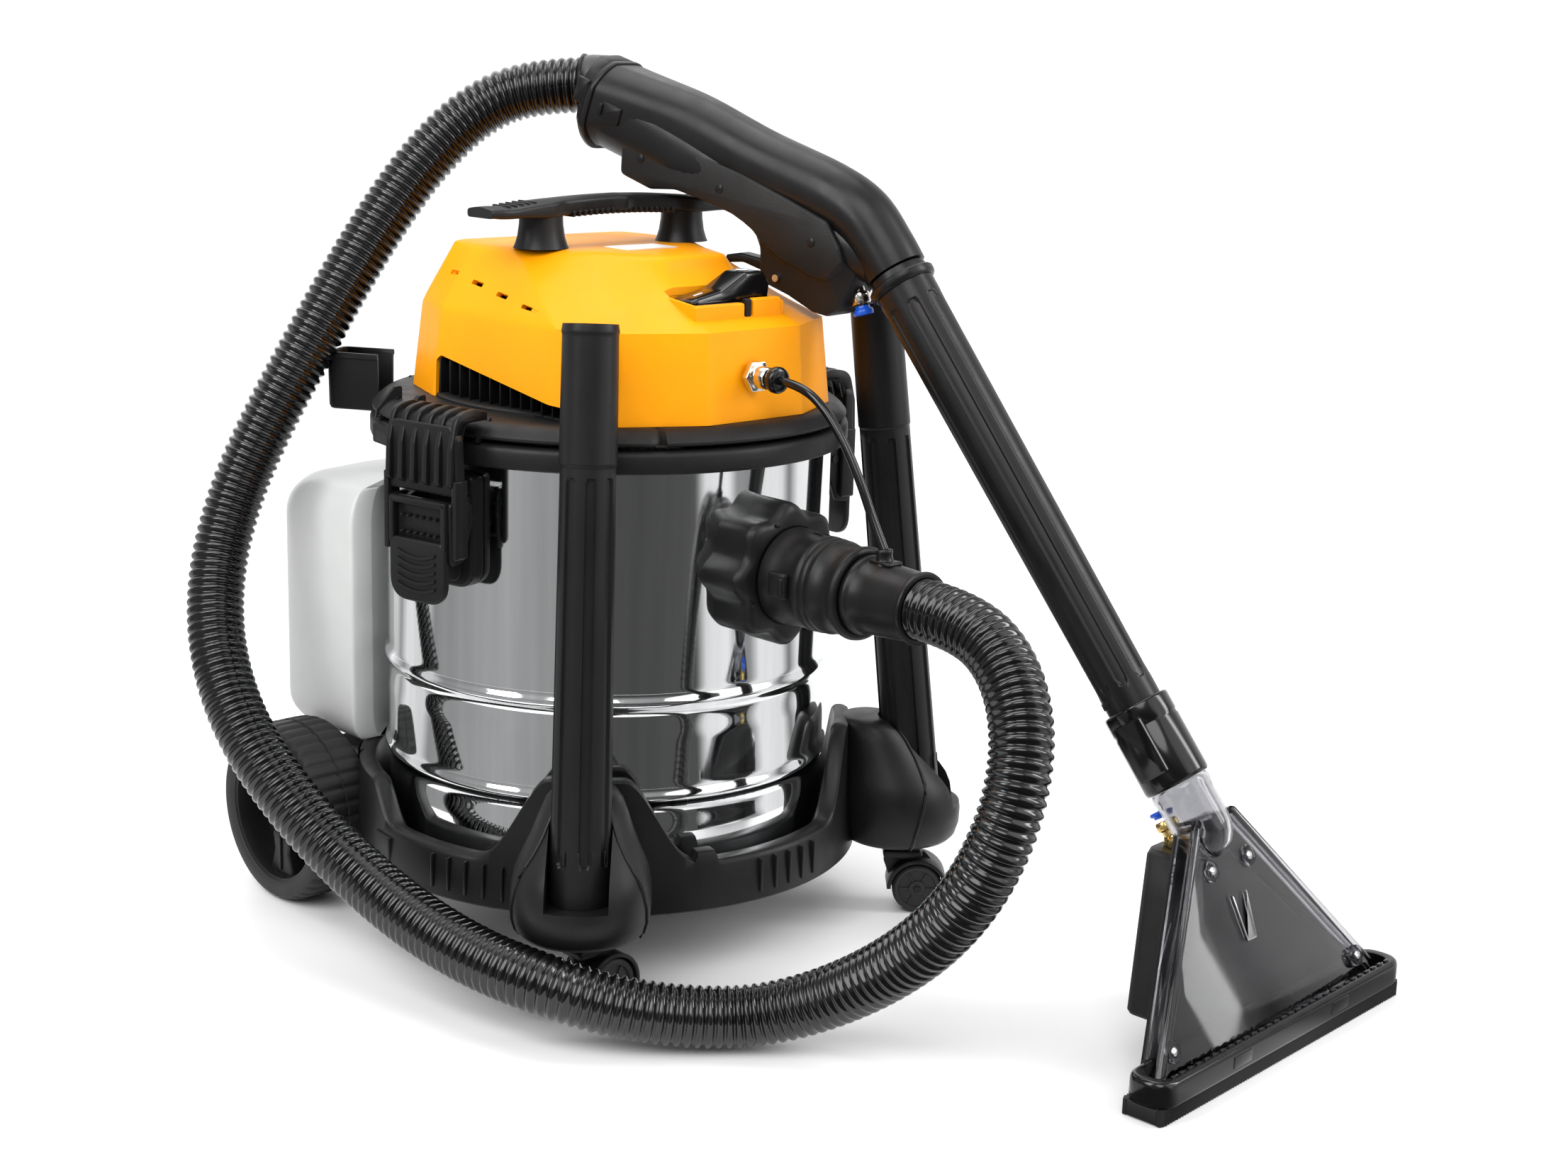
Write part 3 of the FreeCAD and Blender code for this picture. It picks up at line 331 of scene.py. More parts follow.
def shrink(outline, inset):
    """Move an anticlockwise outline inwards along its normals."""
    if not inset:
        return list(outline)
    moved = []
    count = len(outline)
    for i in range(count):
        before, here, after = (Vector(outline[j % count]) for j in (i - 1, i, i + 1))
        k = 2
        while (here - before).length < 1e-4 and k < count:
            before = Vector(outline[(i - k) % count])
            k += 1
        k = 2
        while (after - here).length < 1e-4 and k < count:
            after = Vector(outline[(i + k) % count])
            k += 1
        along = ((here - before).normalized() + (after - here).normalized())
        along = along.normalized() if along.length > 1e-6 else (after - here).normalized()
        moved.append((here.x - along.y * inset, here.y + along.x * inset))
    return moved


def place_at(origin, z_axis, x_hint=(1, 0, 0)):
    """Matrix (millimetres) with local Z along z_axis and local X near x_hint."""
    z = Vector(z_axis).normalized()
    x = Vector(x_hint)
    x = (x - z * x.dot(z)).normalized()
    turn = Matrix((x, z.cross(x), z)).transposed()
    return Matrix.Translation(Vector(origin)) @ turn.to_4x4()


def lift(x=0, y=0, z=0):
    return Matrix.Translation((x, y, z))


def piece(name, shape, body, look, nodes=(), sharp=38.0, bevel=0.0, subdivide=0):
    """Turn a Shape into an object that rides on body and may stand for CAD nodes."""
    mesh = bpy.data.meshes.new(name)
    mesh.from_pydata([at(*p) for p in shape.points], [], shape.faces)
    bm = bmesh.new()
    bm.from_mesh(mesh)
    bmesh.ops.remove_doubles(bm, verts=bm.verts, dist=1e-6)
    bmesh.ops.recalc_face_normals(bm, faces=bm.faces)
    for face in bm.faces:
        face.smooth = True
    limit = math.radians(sharp)
    for edge in bm.edges:
        if len(edge.link_faces) == 2:
            edge.smooth = edge.calc_face_angle(0.0) < limit
    bm.to_mesh(mesh)
    bm.free()
    obj = bpy.data.objects.new(name, mesh)
    bpy.context.scene.collection.objects.link(obj)
    mesh.materials.append(LOOKS[look])
    if bevel:
        rim = obj.modifiers.new("rim", "BEVEL")
        rim.width = bevel * MM
        rim.segments = 3
        rim.limit_method = "ANGLE"
        rim.angle_limit = math.radians(35)
        obj.modifiers.new("normals", "WEIGHTED_NORMAL")
    if subdivide:
        smooth = obj.modifiers.new("smooth", "SUBSURF")
        smooth.levels = subdivide
        smooth.render_levels = subdivide
    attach(obj, body)
    if nodes:
        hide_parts(*nodes)
    return obj


def carve(obj, cutter_shape):
    """Cut a Shape out of a piece for good."""
    mesh = bpy.data.meshes.new("cutter")
    mesh.from_pydata([at(*p) for p in cutter_shape.points], [], cutter_shape.faces)
    cleaner = bmesh.new()
    cleaner.from_mesh(mesh)
    bmesh.ops.recalc_face_normals(cleaner, faces=cleaner.faces)
    cleaner.to_mesh(mesh)
    cleaner.free()
    cutter = bpy.data.objects.new("cutter", mesh)
    bpy.context.scene.collection.objects.link(cutter)
    modifier = obj.modifiers.new("carve", "BOOLEAN")
    modifier.object = cutter
    modifier.solver = "EXACT"
    modifier.use_self = True
    modifier.use_hole_tolerant = True
    while obj.modifiers[0] != modifier:
        obj.modifiers.move(len(obj.modifiers) - 1, 0)
    kept = [m for m in obj.modifiers if m != modifier]
    for other in kept:
        other.show_viewport = False
    graph = bpy.context.evaluated_depsgraph_get()
    graph.update()
    carved = bpy.data.meshes.new_from_object(obj.evaluated_get(graph))
    obj.modifiers.remove(modifier)
    obj.data = carved
    for other in kept:
        other.show_viewport = True
    bpy.data.objects.remove(cutter)
    finish_edges(obj)


def finish_edges(obj, sharp=38.0):
    bm = bmesh.new()
    bm.from_mesh(obj.data)
    limit = math.radians(sharp)
    for face in bm.faces:
        face.smooth = True
    for edge in bm.edges:
        if len(edge.link_faces) == 2:
            edge.smooth = edge.calc_face_angle(0.0) < limit
    bm.to_mesh(obj.data)
    bm.free()


def polar(radius, degrees, z=0.0):
    """A place at a bearing from the front (-Y), positive towards +X."""
    turn = math.radians(degrees)
    return Vector((radius * math.sin(turn), -radius * math.cos(turn), z))


def ease(t):
    t = min(1.0, max(0.0, t))
    return t * t * (3 - 2 * t)


def hump(value, centre, half, soft):
    """1 within half of centre, easing to 0 over soft beyond it."""
    return ease((half + soft - abs(value - centre)) / soft)


def circle(radius, count, squash=1.0):
    return [(radius * math.cos(math.tau * k / count), radius * squash * math.sin(math.tau * k / count))
            for k in range(count)]


# ------------------------------------------------------------------------ cords
# The routes the CAD tubes follow: the suction hose from the drum's cuff down to the
# floor, past the left side and up over to the handle, and the water tube from the
# cover's fitting down to the cuff.
HOSE_ROUTE = (
    (0, -306.3, 281), (-0.5, -345, 280.5), (-9, -385, 264), (-24, -413, 232), (-40, -422, 190),
    (-52, -412, 145), (-58, -385, 103), (-64, -346, 66), (-77, -304, 37), (-101, -270, 22),
    (-133, -245, 22), (-169, -217, 29), (-202, -182, 42), (-214, -126, 46), (-220, -62, 56),
    (-226, 2, 77), (-238, 52, 110), (-244, 102, 150), (-237, 145, 196), (-220, 172, 246),
    (-196, 182, 300), (-170, 177, 352), (-142, 169, 402), (-112, 166, 448), (-80, 164, 492),
    (-48, 158, 533), (-14, 143, 569), (18, 118, 588), (42.5, 85, 590))
WATER_ROUTE = (
    (-4, -176.2, 410), (-4, -194, 409), (-3, -214, 399), (-2, -232, 380), (-1, -248, 355),
    (0, -261, 328), (0, -270.6, 312.8))
HOSE_RADIUS = 20.0
HOSE_ROOT = 17.7
HOSE_PITCH = 6.4
WATER_RADIUS = 3.0


def nurbs(name, route):
    curve = bpy.data.curves.new(name, "CURVE")
    curve.dimensions = "3D"
    spline = curve.splines.new("NURBS")
    spline.points.add(len(route) - 1)
    for point, place in zip(spline.points, route):
        point.co = (*at(*place), 1.0)
    spline.order_u = 3
    spline.use_endpoint_u = True
    spline.resolution_u = 16
    obj = bpy.data.objects.new(name, curve)
    bpy.context.scene.collection.objects.link(obj)
    return obj


def centreline(route):
    """Points along the smooth line through a route, in metres."""
    guide = nurbs("guide", route)
    line = bpy.data.meshes.new_from_object(guide)
    points = [v.co.copy() for v in line.vertices]
    bpy.data.objects.remove(guide)
    bpy.data.meshes.remove(line)
    return points


def walk(points, step):
    """Places and headings every step metres along a line of points."""
    lengths = [0.0]
    for a, b in zip(points, points[1:]):
        lengths.append(lengths[-1] + (b - a).length)
    count = round(lengths[-1] / step)
    places = []
    i = 0
    for k in range(count + 1):
        here = lengths[-1] * k / count
        while i < len(points) - 2 and lengths[i + 1] < here:
            i += 1
        share = (here - lengths[i]) / (lengths[i + 1] - lengths[i])
        places.append(points[i].lerp(points[i + 1], share))
    headings = [(places[min(k + 1, count)] - places[max(k - 1, 0)]).normalized() for k in range(count + 1)]
    return places, headings


def sweep_rings(places, headings, radii, sides):
    """Round rings (metres) along a line, turned as little as possible between neighbours."""
    side = headings[0].orthogonal().normalized()
    rings = []
    for place, heading, radius in zip(places, headings, radii):
        side = (side - heading * side.dot(heading)).normalized()
        other = heading.cross(side)
        rings.append([place + (side * math.cos(math.tau * k / sides) + other * math.sin(math.tau * k / sides)) * radius
                      for k in range(sides)])
    return rings


def mesh_from_rings(name, rings, look):
    sides = len(rings[0])
    points = [p for ring in rings for p in ring]
    faces = [(i * sides + j, i * sides + (j + 1) % sides, (i + 1) * sides + (j + 1) % sides, (i + 1) * sides + j)
             for i in range(len(rings) - 1) for j in range(sides)]
    faces += [tuple(range(sides))[::-1], tuple(range(len(points) - sides, len(points)))]
    mesh = bpy.data.meshes.new(name)
    mesh.from_pydata(points, [], faces)
    mesh.shade_smooth()
    mesh.materials.append(LOOKS[look])
    obj = bpy.data.objects.new(name, mesh)
    bpy.context.scene.collection.objects.link(obj)
    return obj


def make_cords():
    samples = 8
    line = centreline(HOSE_ROUTE)
    places, headings = walk(line, HOSE_PITCH * MM / samples)
    depth = HOSE_RADIUS - HOSE_ROOT
    radii = [(HOSE_ROOT + depth * (0.5 + 0.5 * math.cos(math.tau * k / samples)) ** 0.62) * MM
             for k in range(len(places))]
    hose = mesh_from_rings("suction_hose_ribbed", sweep_rings(places, headings, radii, 36), "hose")
    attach(hose, "machine")
    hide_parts("suction_hose")

    tube = nurbs("water_tube", WATER_ROUTE)
    tube.data.bevel_depth = WATER_RADIUS * MM
    tube.data.bevel_resolution = 6
    tube.data.use_fill_caps = True
    tube.data.materials.append(LOOKS["gloss_black"])
    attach(tube, "machine")
    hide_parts("solution_hose")


# ------------------------------------------------------------------------- drum
DRUM_R = (drum_high.x - drum_low.x) / 2 / MM - 2.6
DRUM_TOP = drum_high.z / MM
DRUM_BOTTOM = drum_low.z / MM
BEADS = (128.0, 194.0)


def drum_radius(z):
    """The pressed sheet: two beads, slightly drawn in below each, and a rolled bottom edge."""
    radius = DRUM_R
    for bead in BEADS:
        radius += 2.6 * math.exp(-((z - bead) / 4.2) ** 2)
        radius -= 0.9 * ease((bead - z) / 10.0) * ease((z - bead + 26) / 16.0)
    radius -= 8.0 * (1 - min(1.0, (z - DRUM_BOTTOM) / 9.0)) ** 2
    return radius


def make_drum():
    heights = [DRUM_BOTTOM + k * 1.5 for k in range(round((DRUM_TOP - DRUM_BOTTOM) / 1.5))] + [DRUM_TOP]
    outer = [(drum_radius(z), z) for z in heights]
    inner = [(r - 1.2, max(z, DRUM_BOTTOM + 1.2)) for r, z in outer[::-1]]
    shell = Shape().lathe(outer + inner, 160)
    shell.disc_lathe([(drum_radius(DRUM_BOTTOM) - 0.5, DRUM_BOTTOM), (drum_radius(DRUM_BOTTOM) - 0.5, DRUM_BOTTOM + 1.2)],
                     96)
    piece("drum_shell", shell, "machine", "drum_shell", ("drum_tank",), sharp=50)


# -------------------------------------------------------------------- rim and lid
NOTCH = -29.0
RIM_R = 169.0


def bearing_of(angle):
    """Bearing from the front for a lathe angle measured from +X."""
    return (math.degrees(angle) + 90.0 + 180.0) % 360.0 - 180.0


def make_lid():
    rim = [(158.6, 351.2), (166.8, 351.0), (168.4, 351.9), (169.0, 353.6), (169.0, 362.4), (168.2, 364.6),
           (166.6, 365.9), (164.0, 366.4), (158.6, 366.4)]
    band = Shape().lathe(rim, 144)
    for bearing in (-100.0, 100.0):
        place = place_at(polar(165.0, bearing, 358.0), polar(1, bearing), (0, 0, 1))
        band.block((0, 0, 2), (14, 62, 7), 2.4, place)
    piece("rim_band", band, "machine", "grained_black", ("drum_rim_ring", "lid_gasket"))

    def wobble(angle, radius, height):
        """Two broad raised sectors of the shoulder, split by a notch at the front left."""
        bearing = bearing_of(angle)
        dip = hump(bearing, NOTCH, 0.7, 0.5) * (1 if height > 369.5 and radius > 150 else 0)
        return radius - 5.0 * dip

    lid = [(34.0, 371.2), (148.0, 371.2), (149.0, 369.2), (166.0, 369.1), (167.4, 370.2), (167.4, 371.6),
           (165.2, 374.4), (162.0, 377.2), (158.6, 379.3), (154.5, 380.0), (34.0, 380.0)]
    top = Shape().lathe(lid, 288, wobble=wobble)
    for bearing, height in ((-71.0, 12.0), (-110.0, 12.0), (71.0, 12.0), (150.0, 8.0), (-150.0, 8.0)):
        place = place_at(polar(150.0, bearing), polar(1, bearing).cross(Vector((0, 0, 1))), polar(1, bearing))
        fin = [(3.0, 379.0), (17.2, 366.8), (18.4, 366.8), (18.4, 369.0), (5.0, 379.0 + height * 0.25)]
        top.prism([(x, z) for x, z in fin], -1.4, 1.4, place)
    collar = [(116.0, 379.5), (126.0, 379.5), (126.0, 381.5), (124.5, 382.6), (117.5, 382.6), (116.0, 381.5)]
    top.lathe(collar, 96)
    piece("lid_shoulder", top, "machine", "grained_black", ("motor_base",))
    make_lid_clips()


def make_lid_clips():
    """Upright ribs at the lid's left and right edge, where it is gripped and keyed."""
    clips = Shape()
    for bearing in (-112.0, -96.0, 96.0, 112.0):
        place = place_at(polar(157.0, bearing), polar(1, bearing).cross(Vector((0, 0, 1))), polar(1, bearing))
        side = rounded([(-6.0, 378.0), (9.5, 371.0), (11.0, 367.0), (12.5, 367.0), (11.5, 373.0), (-1.0, 388.0),
                        (-6.0, 389.0)], 1.5, 2)
        clips.prism(side, -2.2, 2.2, place)
    piece("lid_keys", clips, "machine", "grained_black", (), bevel=0.6)


# ------------------------------------------------------------------------ cover
COVER_LOW = [(43.0, -150.0), (98.0, -121.0), (121.0, -78.0), (116.0, 54.0), (95.0, 108.0)]
COVER_SHOULDER = [(41.0, -146.0), (92.0, -118.0), (113.0, -76.0), (109.0, 52.0), (91.0, 102.0)]
COVER_TOP = [(30.0, -84.0), (52.0, -34.0), (79.0, 10.0), (83.0, 50.0), (78.0, 84.0)]
COVER_LEVELS = (380.2, 441.0, 484.0)


def mirrored(half):
    return half + [(-x, y) for x, y in half[::-1]]


def between(first, second, share):
    return [(a[0] + (b[0] - a[0]) * share, a[1] + (b[1] - a[1]) * share) for a, b in zip(first, second)]


def cover_ring(level, share, radius, inset=0.0):
    """One level of the cover: share runs 0 at the foot, 1 at the shoulder and 2 on top."""
    if share <= 1:
        plan = between(COVER_LOW, COVER_SHOULDER, share)
    else:
        plan = between(COVER_SHOULDER, COVER_TOP, share - 1)
        sag = 13.0 * math.sin(math.pi * (share - 1)) ** 0.8
        plan = [(x, y + sag * ease((-60.0 - y) / 45.0)) for x, y in plan]
    ring = shrink(rounded(mirrored(plan), radius, 6), inset)
    return [(x, y, level) for x, y in ring]


def make_cover():
    low, shoulder, top = COVER_LEVELS
    stations = [(0.0, 9.0), (0.45, 9.0), (0.86, 10.0), (0.95, 10.0), (1.0, 11.0), (1.05, 11.5), (1.12, 12.0),
                (1.22, 12.5), (1.35, 13.0), (1.5, 14.0), (1.65, 14.5), (1.8, 15.0), (1.9, 15.0), (1.96, 15.0)]
    outer = []
    for share, radius in stations:
        level = low + (shoulder - low) * share if share <= 1 else shoulder + (top - shoulder) * (share - 1)
        level -= 0.9 * math.exp(-((share - 1.0) / 0.06) ** 2)
        outer.append(cover_ring(level, share, radius))
    outer += [cover_ring(top - 1.0, 1.985, 15.0, 1.2), cover_ring(top - 0.25, 2.0, 15.0, 4.0),
              cover_ring(top, 2.0, 15.0, 9.0)]
    shape = Shape().loft(outer, (False, True))
    hidden = [cover_ring(low, 0.0, 9.0, 2.6), cover_ring(shoulder - 2.6, 0.96, 10.0, 3.4)]
    hidden += [cover_ring(shoulder + (top - shoulder) * (share - 1) - 2.6, share, 13.0, 3.6)
               for share in (1.1, 1.25, 1.4, 1.55, 1.7, 1.85, 1.97)]
    inner = Shape().loft(hidden, (False, True))
    ring_size = len(outer[0])
    start = len(shape.points)
    shape.add(inner.points, [face[::-1] for face in inner.faces])
    shape.faces += [(j, start + j, start + (j + 1) % ring_size, (j + 1) % ring_size) for j in range(ring_size)]
    cover = piece("cover_shell", shape, "machine", "yellow_plastic", ("top_cover",), sharp=60)

    vents = Shape()
    for side in (-1, 1):
        window = rounded([(-92.0, 372.0), (49.0, 372.0), (53.0, 405.0), (48.0, 408.5), (-76.0, 391.5), (-92.0, 389.0)],
                         3.0, 3)
        vents.prism(window, -14.0, 14.0, place_at((side * 121.0, 0, 0), (1, 0, 0), (0, 1, 0)))
    seat = Shape().prism([(-39.0, -127.0), (39.0, -127.0), (39.0, -99.0), (-39.0, -99.0)], 445.0, 520.0)
    carve(cover, seat)
    carve(cover, vents)
    slots = Shape()
    for side in (-1, 1):
        for y in (58.0, 26.0, -6.0, -38.0):
            z = 463.5 + (y - 58.0) * 0.165
            x = 93.5 - (y - 58.0) * 0.10
            place = place_at((side * x, y, z), (side * 0.82, 0, 0.57), (0, 1, 0.16))
            slots.block((0, 0, 0), (13.0, 3.4, 7.0), 0.8, place)
    carve(cover, slots)
    make_cover_trim()


def make_cover_trim():
    """Yellow cheeks round the switch and louvres in the side vents."""
    cheek = Shape()
    for a, b, high in ((-40.0, 3.6, 456.0), (11.4, 37.0, 458.5)):
        wall = rounded([(a, 440.0), (b, 440.0), (b, high), (a, high)], 2.2, 3)
        cheek.pillow(wall, 0.0, 6.0, 1.2, place_at((0, -126.4, 0), (0, -1, 0), (1, 0, 0)), 3)
    for x in (-40.6, 37.4):
        wall = rounded([(-131.0, 440.0), (-97.0, 440.0), (-97.0, 460.0), (-131.0, 456.0)], 2.0, 3)
        cheek.pillow(wall, x, x + 3.2, 0.8, place_at((0, 0, 0), (1, 0, 0), (0, 1, 0)), 2)
    cheek.block((0, -97.0, 451.0), (80.0, 3.0, 20.0), 1.2)
    piece("switch_cheeks", cheek, "machine", "yellow_plastic", bevel=0.7)

    louvres = Shape()
    for side in (-1, 1):
        for k in range(13):
            louvres.block((side * 107.5, -86.0 + 11.2 * k, 393.0), (12.0, 1.5, 26.0), 0.5)
        louvres.block((side * 101.0, -18.0, 394.0), (2.0, 144.0, 27.0), 0.6)
        louvres.block((side * 106.0, -18.0, 380.9), (14.0, 144.0, 2.0), 0.6)
    piece("vent_grilles", louvres, "machine", "black_plastic", ("vent_louvres",))


# ----------------------------------------------------------------------- switch
def make_switch():
    housing = Shape()
    housing.block((0, -112.5, 448.2), (76.0, 25.0, 2.6), 1.0)
    housing.block((7.5, -129.6, 450.5), (5.4, 4.4, 16.0), 0.9)
    for y in (-99.5, -125.5):
        housing.block((0, y, 453.0), (74.0, 2.0, 6.0), 0.6)
    piece("switch_well", housing, "machine", "black_plastic", ("switch_housing",), bevel=0.3)

    profile = rounded([(-36.0, 457.6), (-33.0, 453.0), (-6.0, 451.6), (8.0, 451.6), (34.0, 456.8), (35.4, 466.0, 5.0),
                       (29.0, 475.6, 6.0), (13.0, 474.8, 9.0), (-8.0, 463.6, 14.0), (-30.0, 459.4)], 2.0, 5)
    rocker = Shape().pillow(profile, -11.2, 11.2, 2.6, place_at((0, -112, 0), (0, -1, 0), (1, 0, 0)))
    body = piece("rocker_body", rocker, "rocker", "gloss_black", ("rocker_switch",), sharp=50)
    marks = Shape()
    ring = [(3.2 + 0.75 * math.cos(math.tau * k / 8), 0.35 * math.sin(math.tau * k / 8)) for k in range(8)]
    marks.lathe(ring, 40, place_at((19.0, -112.0, 475.5), (0.03, 0, 1.0)) @ Matrix.Diagonal((1.25, 1.0, 1.0, 1.0)))
    marks.block((0, 0, 0), (7.5, 1.5, 0.5), 0.2, place_at((-21.5, -113.0, 461.2), (-0.20, 0, 0.98)))
    printed = piece("rocker_marks", marks, "rocker", "white_print", ())
    return body, printed


# ----------------------------------------------------------------- carry handle
def make_carry_handle():
    """An arched bar with drooping wing tips on two flared posts."""
    stations = []
    for k in range(65):
        x = -116.0 + 232.0 * k / 64
        far = abs(x) / 116.0
        crown = 519.6 - 9.0 * far ** 2 + 2.4 * ease((far - 0.82) / 0.18)
        half_wide = 15.0 - 3.2 * hump(abs(x), 30.0, 20.0, 14.0) - 1.6 * ease((far - 0.9) / 0.1)
        thick = 11.5 - 3.6 * ease((far - 0.56) / 0.3) - 0.8 * ease((far - 0.93) / 0.07)
        stations.append((x, crown, half_wide, thick))
    rings = []
    for x, crown, wide, thick in stations:
        section = rounded([(-wide, crown - thick), (wide, crown - thick), (wide, crown - 1.5), (0.0, crown + 0.4, 40.0),
                           (-wide, crown - 1.5)], 2.6, 4)
        rings.append([(x, y, z) for y, z in section])
    bar = Shape().loft(rings)
    for side in (-1, 1):
        for k in range(5):
            centre = (side * (76.0 + 5.4 * k), 0, 514.9 - 0.55 * k)
            bar.block(centre, (1.7, 19.0, 2.6), 0.5)
        foot = []
        for level, wide, deep in ((508.0, 15.6, 13.4), (500.0, 15.9, 13.8), (492.0, 17.0, 15.0), (486.5, 18.8, 16.6),
                                  (484.1, 20.0, 17.6)):
            foot.append([(side * 64.0 + x, y * deep / wide, level) for x, y in circle(wide, 40)])
        bar.loft(foot[::-1])
    piece("carry_bar", bar, "machine", "black_plastic", ("carry_handle",), bevel=0.0, sharp=42)

    ribs = Shape()
    for k in range(19):
        x = -45.0 + 5.0 * k
        z = 508.6 - 9.0 * (x / 116.0) ** 2
        ribs.block((x, 0, z), (2.4, 25.6, 4.4), 0.8)
    piece("carry_grip_ribs", ribs, "machine", "black_plastic")


# ------------------------------------------------------------------ inlet, hose end
INLET = place_at((0, -152, 281), (0, -1, 0), (1, 0, 0))


def make_inlet():
    def lobes(angle, radius, height):
        return radius + (3.4 * math.cos(8 * angle) * radius / 45 if radius > 34 else 0)

    profile = [(26.3, 4.0), (44.6, -6.0), (45.6, 4.0), (45.6, 29.0), (44.8, 32.6), (42.6, 35.0), (39.8, 36.0),
               (33.6, 36.0), (33.2, 34.6), (26.3, 34.6)]
    flange = Shape().lathe(profile, 192, INLET, wobble=lobes)
    for turn in (0, 90, 180, 270):
        t = math.radians(turn + 22.5)
        flange.block((38.4 * math.cos(t), 38.4 * math.sin(t), 36.0), (3.2, 3.2, 1.2), 0.5, INLET)
    piece("inlet_flange_lobed", flange, "machine", "black_plastic", ("inlet_flange",), sharp=46)

    body = [(24.2, 2.0), (26.0, 2.0), (26.0, 36.6), (31.6, 36.6), (32.8, 37.6), (33.0, 41.0), (32.4, 47.0),
            (31.6, 50.0), (31.2, 66.0), (31.9, 66.8), (31.9, 68.4), (31.0, 69.2), (30.8, 72.0), (31.6, 72.8),
            (31.6, 74.4), (30.7, 75.2), (30.5, 78.0), (31.2, 78.8), (31.2, 80.4), (30.3, 81.2), (29.4, 92.0),
            (29.2, 96.0), (30.6, 98.4), (31.0, 100.6), (30.6, 102.6), (29.2, 104.0), (26.4, 104.0), (24.2, 102.0)]
    coupling = Shape().lathe(body, 112, INLET)
    coupling.block((-33.2, 2.0, 57.0), (5.0, 17.0, 15.0), 1.6, INLET)
    coupling.block((-35.6, 2.0, 61.5), (2.6, 11.0, 4.0), 1.0, INLET)
    for turn in (62, 74, 86):
        t = math.radians(turn)
        place = INLET @ place_at((31.7 * math.cos(t), 31.7 * math.sin(t), 57.0), (math.cos(t), math.sin(t), 0),
                                 (0, 0, 1))
        coupling.block((0, 0, 0), (8.0, 1.6, 1.2), 0.4, place)
    piece("hose_coupling_body", coupling, "coupling", "black_plastic", ("hose_coupling",), sharp=46)

    sleeve = [(20.15, 30.0), (23.7, 30.0), (23.7, 104.4), (25.6, 104.4), (26.5, 105.4), (26.5, 108.4), (25.4, 110.0),
              (24.4, 111.6), (24.0, 122.0), (23.0, 140.0), (22.3, 149.0), (22.4, 150.6), (23.7, 151.2), (24.0, 152.4),
              (23.6, 153.8), (21.6, 154.4), (20.15, 154.0)]
    cuff = Shape().lathe(sleeve, 96, INLET)
    cuff.block((0, 24.2, 120.5), (13.0, 2.6, 18.0), 1.0, INLET)
    boss = place_at((0, -271.6, 303.0), (0, 0.1, 1), (1, 0, 0))
    cuff.disc_lathe([(7.4, -1.0), (7.2, 1.2), (5.8, 2.6), (5.2, 7.6), (5.6, 8.4), (5.6, 9.8), (4.8, 10.6)], 40, boss)
    piece("hose_cuff_body", cuff, "machine", "dark_plastic", ("hose_cuff",), sharp=46)


def make_connector():
    place = place_at((-4, -150, 410), (0, -1, 0), (1, 0, 0))
    nut = Shape().pillow(rounded(circle(11.3, 6), 0.8, 2), 0.2, 5.4, 0.7, place, 2)
    nut.lathe([(3.3, 5.0), (8.6, 5.0), (9.0, 5.8), (9.0, 6.6), (7.6, 7.2), (7.5, 15.0), (6.9, 16.0), (3.3, 16.0)], 56,
              place)
    piece("connector_nut", nut, "machine", "nickel", ("solution_connector",), sharp=40)
    ring = Shape().lathe([(3.25, 16.2), (6.2, 16.2), (6.4, 18.4), (8.4, 19.8), (8.9, 21.0), (8.9, 24.2), (8.2, 25.8),
                          (6.6, 26.4), (3.25, 26.4)], 56, place)
    piece("connector_ring", ring, "machine", "gloss_black", (), sharp=46)


# ------------------------------------------------------------------------- base
FRONT_FOOT = 44.3
REAR_FOOT = 127.8


def skirt_top(bearing):
    side = abs(bearing)
    sweep = hump(side, FRONT_FOOT, 8.0, 19.0)
    level = 88.0 + 60.0 * sweep ** 1.5
    return max(level, 88.0 + 28.8 * hump(side, REAR_FOOT, 21.0, 12.0), 88.0 + 7.0 * hump(bearing, -18.0, 2.0, 1.2))


def make_base():
    sections = []
    count = 432
    for k in range(count):
        angle = math.tau * k / count
        bearing = bearing_of(angle)
        top = skirt_top(bearing)
        lean = 4.0 * ease((top - 88.0) / 60.0)
        wall = [(150.0, 54.0), (182.6, 54.0), (184.0, 55.4), (183.4, 62.0), (181.2, 84.0), (180.4 - lean * 0.6, top - 2.2),
                (179.2 - lean, top - 0.6), (177.0 - lean, top), (170.0, top), (168.0, top - 0.8), (166.6, top - 2.4),
                (163.4, 64.0), (150.0, 62.0)]
        sections.append([(r * math.cos(angle), r * math.sin(angle), z) for r, z in wall])
    skirt = Shape().loft(sections, closed=True)
    skirt.disc_lathe([(156.0, 58.0), (156.0, 61.4)], 96)
    base = piece("base_skirt", skirt, "machine", "black_plastic", ("base_frame",), sharp=44)
    arches = Shape()
    for side in (-1, 1):
        arches.disc_lathe([(69.0, 0.0), (69.0, 70.0)], 72, place_at((side * 142.0, 150, 66), (side, 0, 0), (0, 0, 1)))
    carve(base, arches)

    trim = Shape()
    for middle, step in ((3.5, 4.2), (-71.0, 4.4), (71.0, 4.4)):
        for k in range(-2, 3):
            spot = polar(182.2, middle + step * k, 72.0)
            trim.block((0, 0, 0), (5.4, 2.0, 24.0), 0.7, place_at(spot, (0, 0, 1), polar(1, middle + step * k)))
    for bearing in (-98.0, 98.0, 168.0, -168.0):
        trim.block((0, 0, 0), (4.0, 22.0, 20.0), 1.0, place_at(polar(181.6, bearing, 72.0), (0, 0, 1),
                                                               polar(1, bearing)))
    piece("base_ribs", trim, "machine", "black_plastic")
    make_front_feet()
    make_rear_arms()


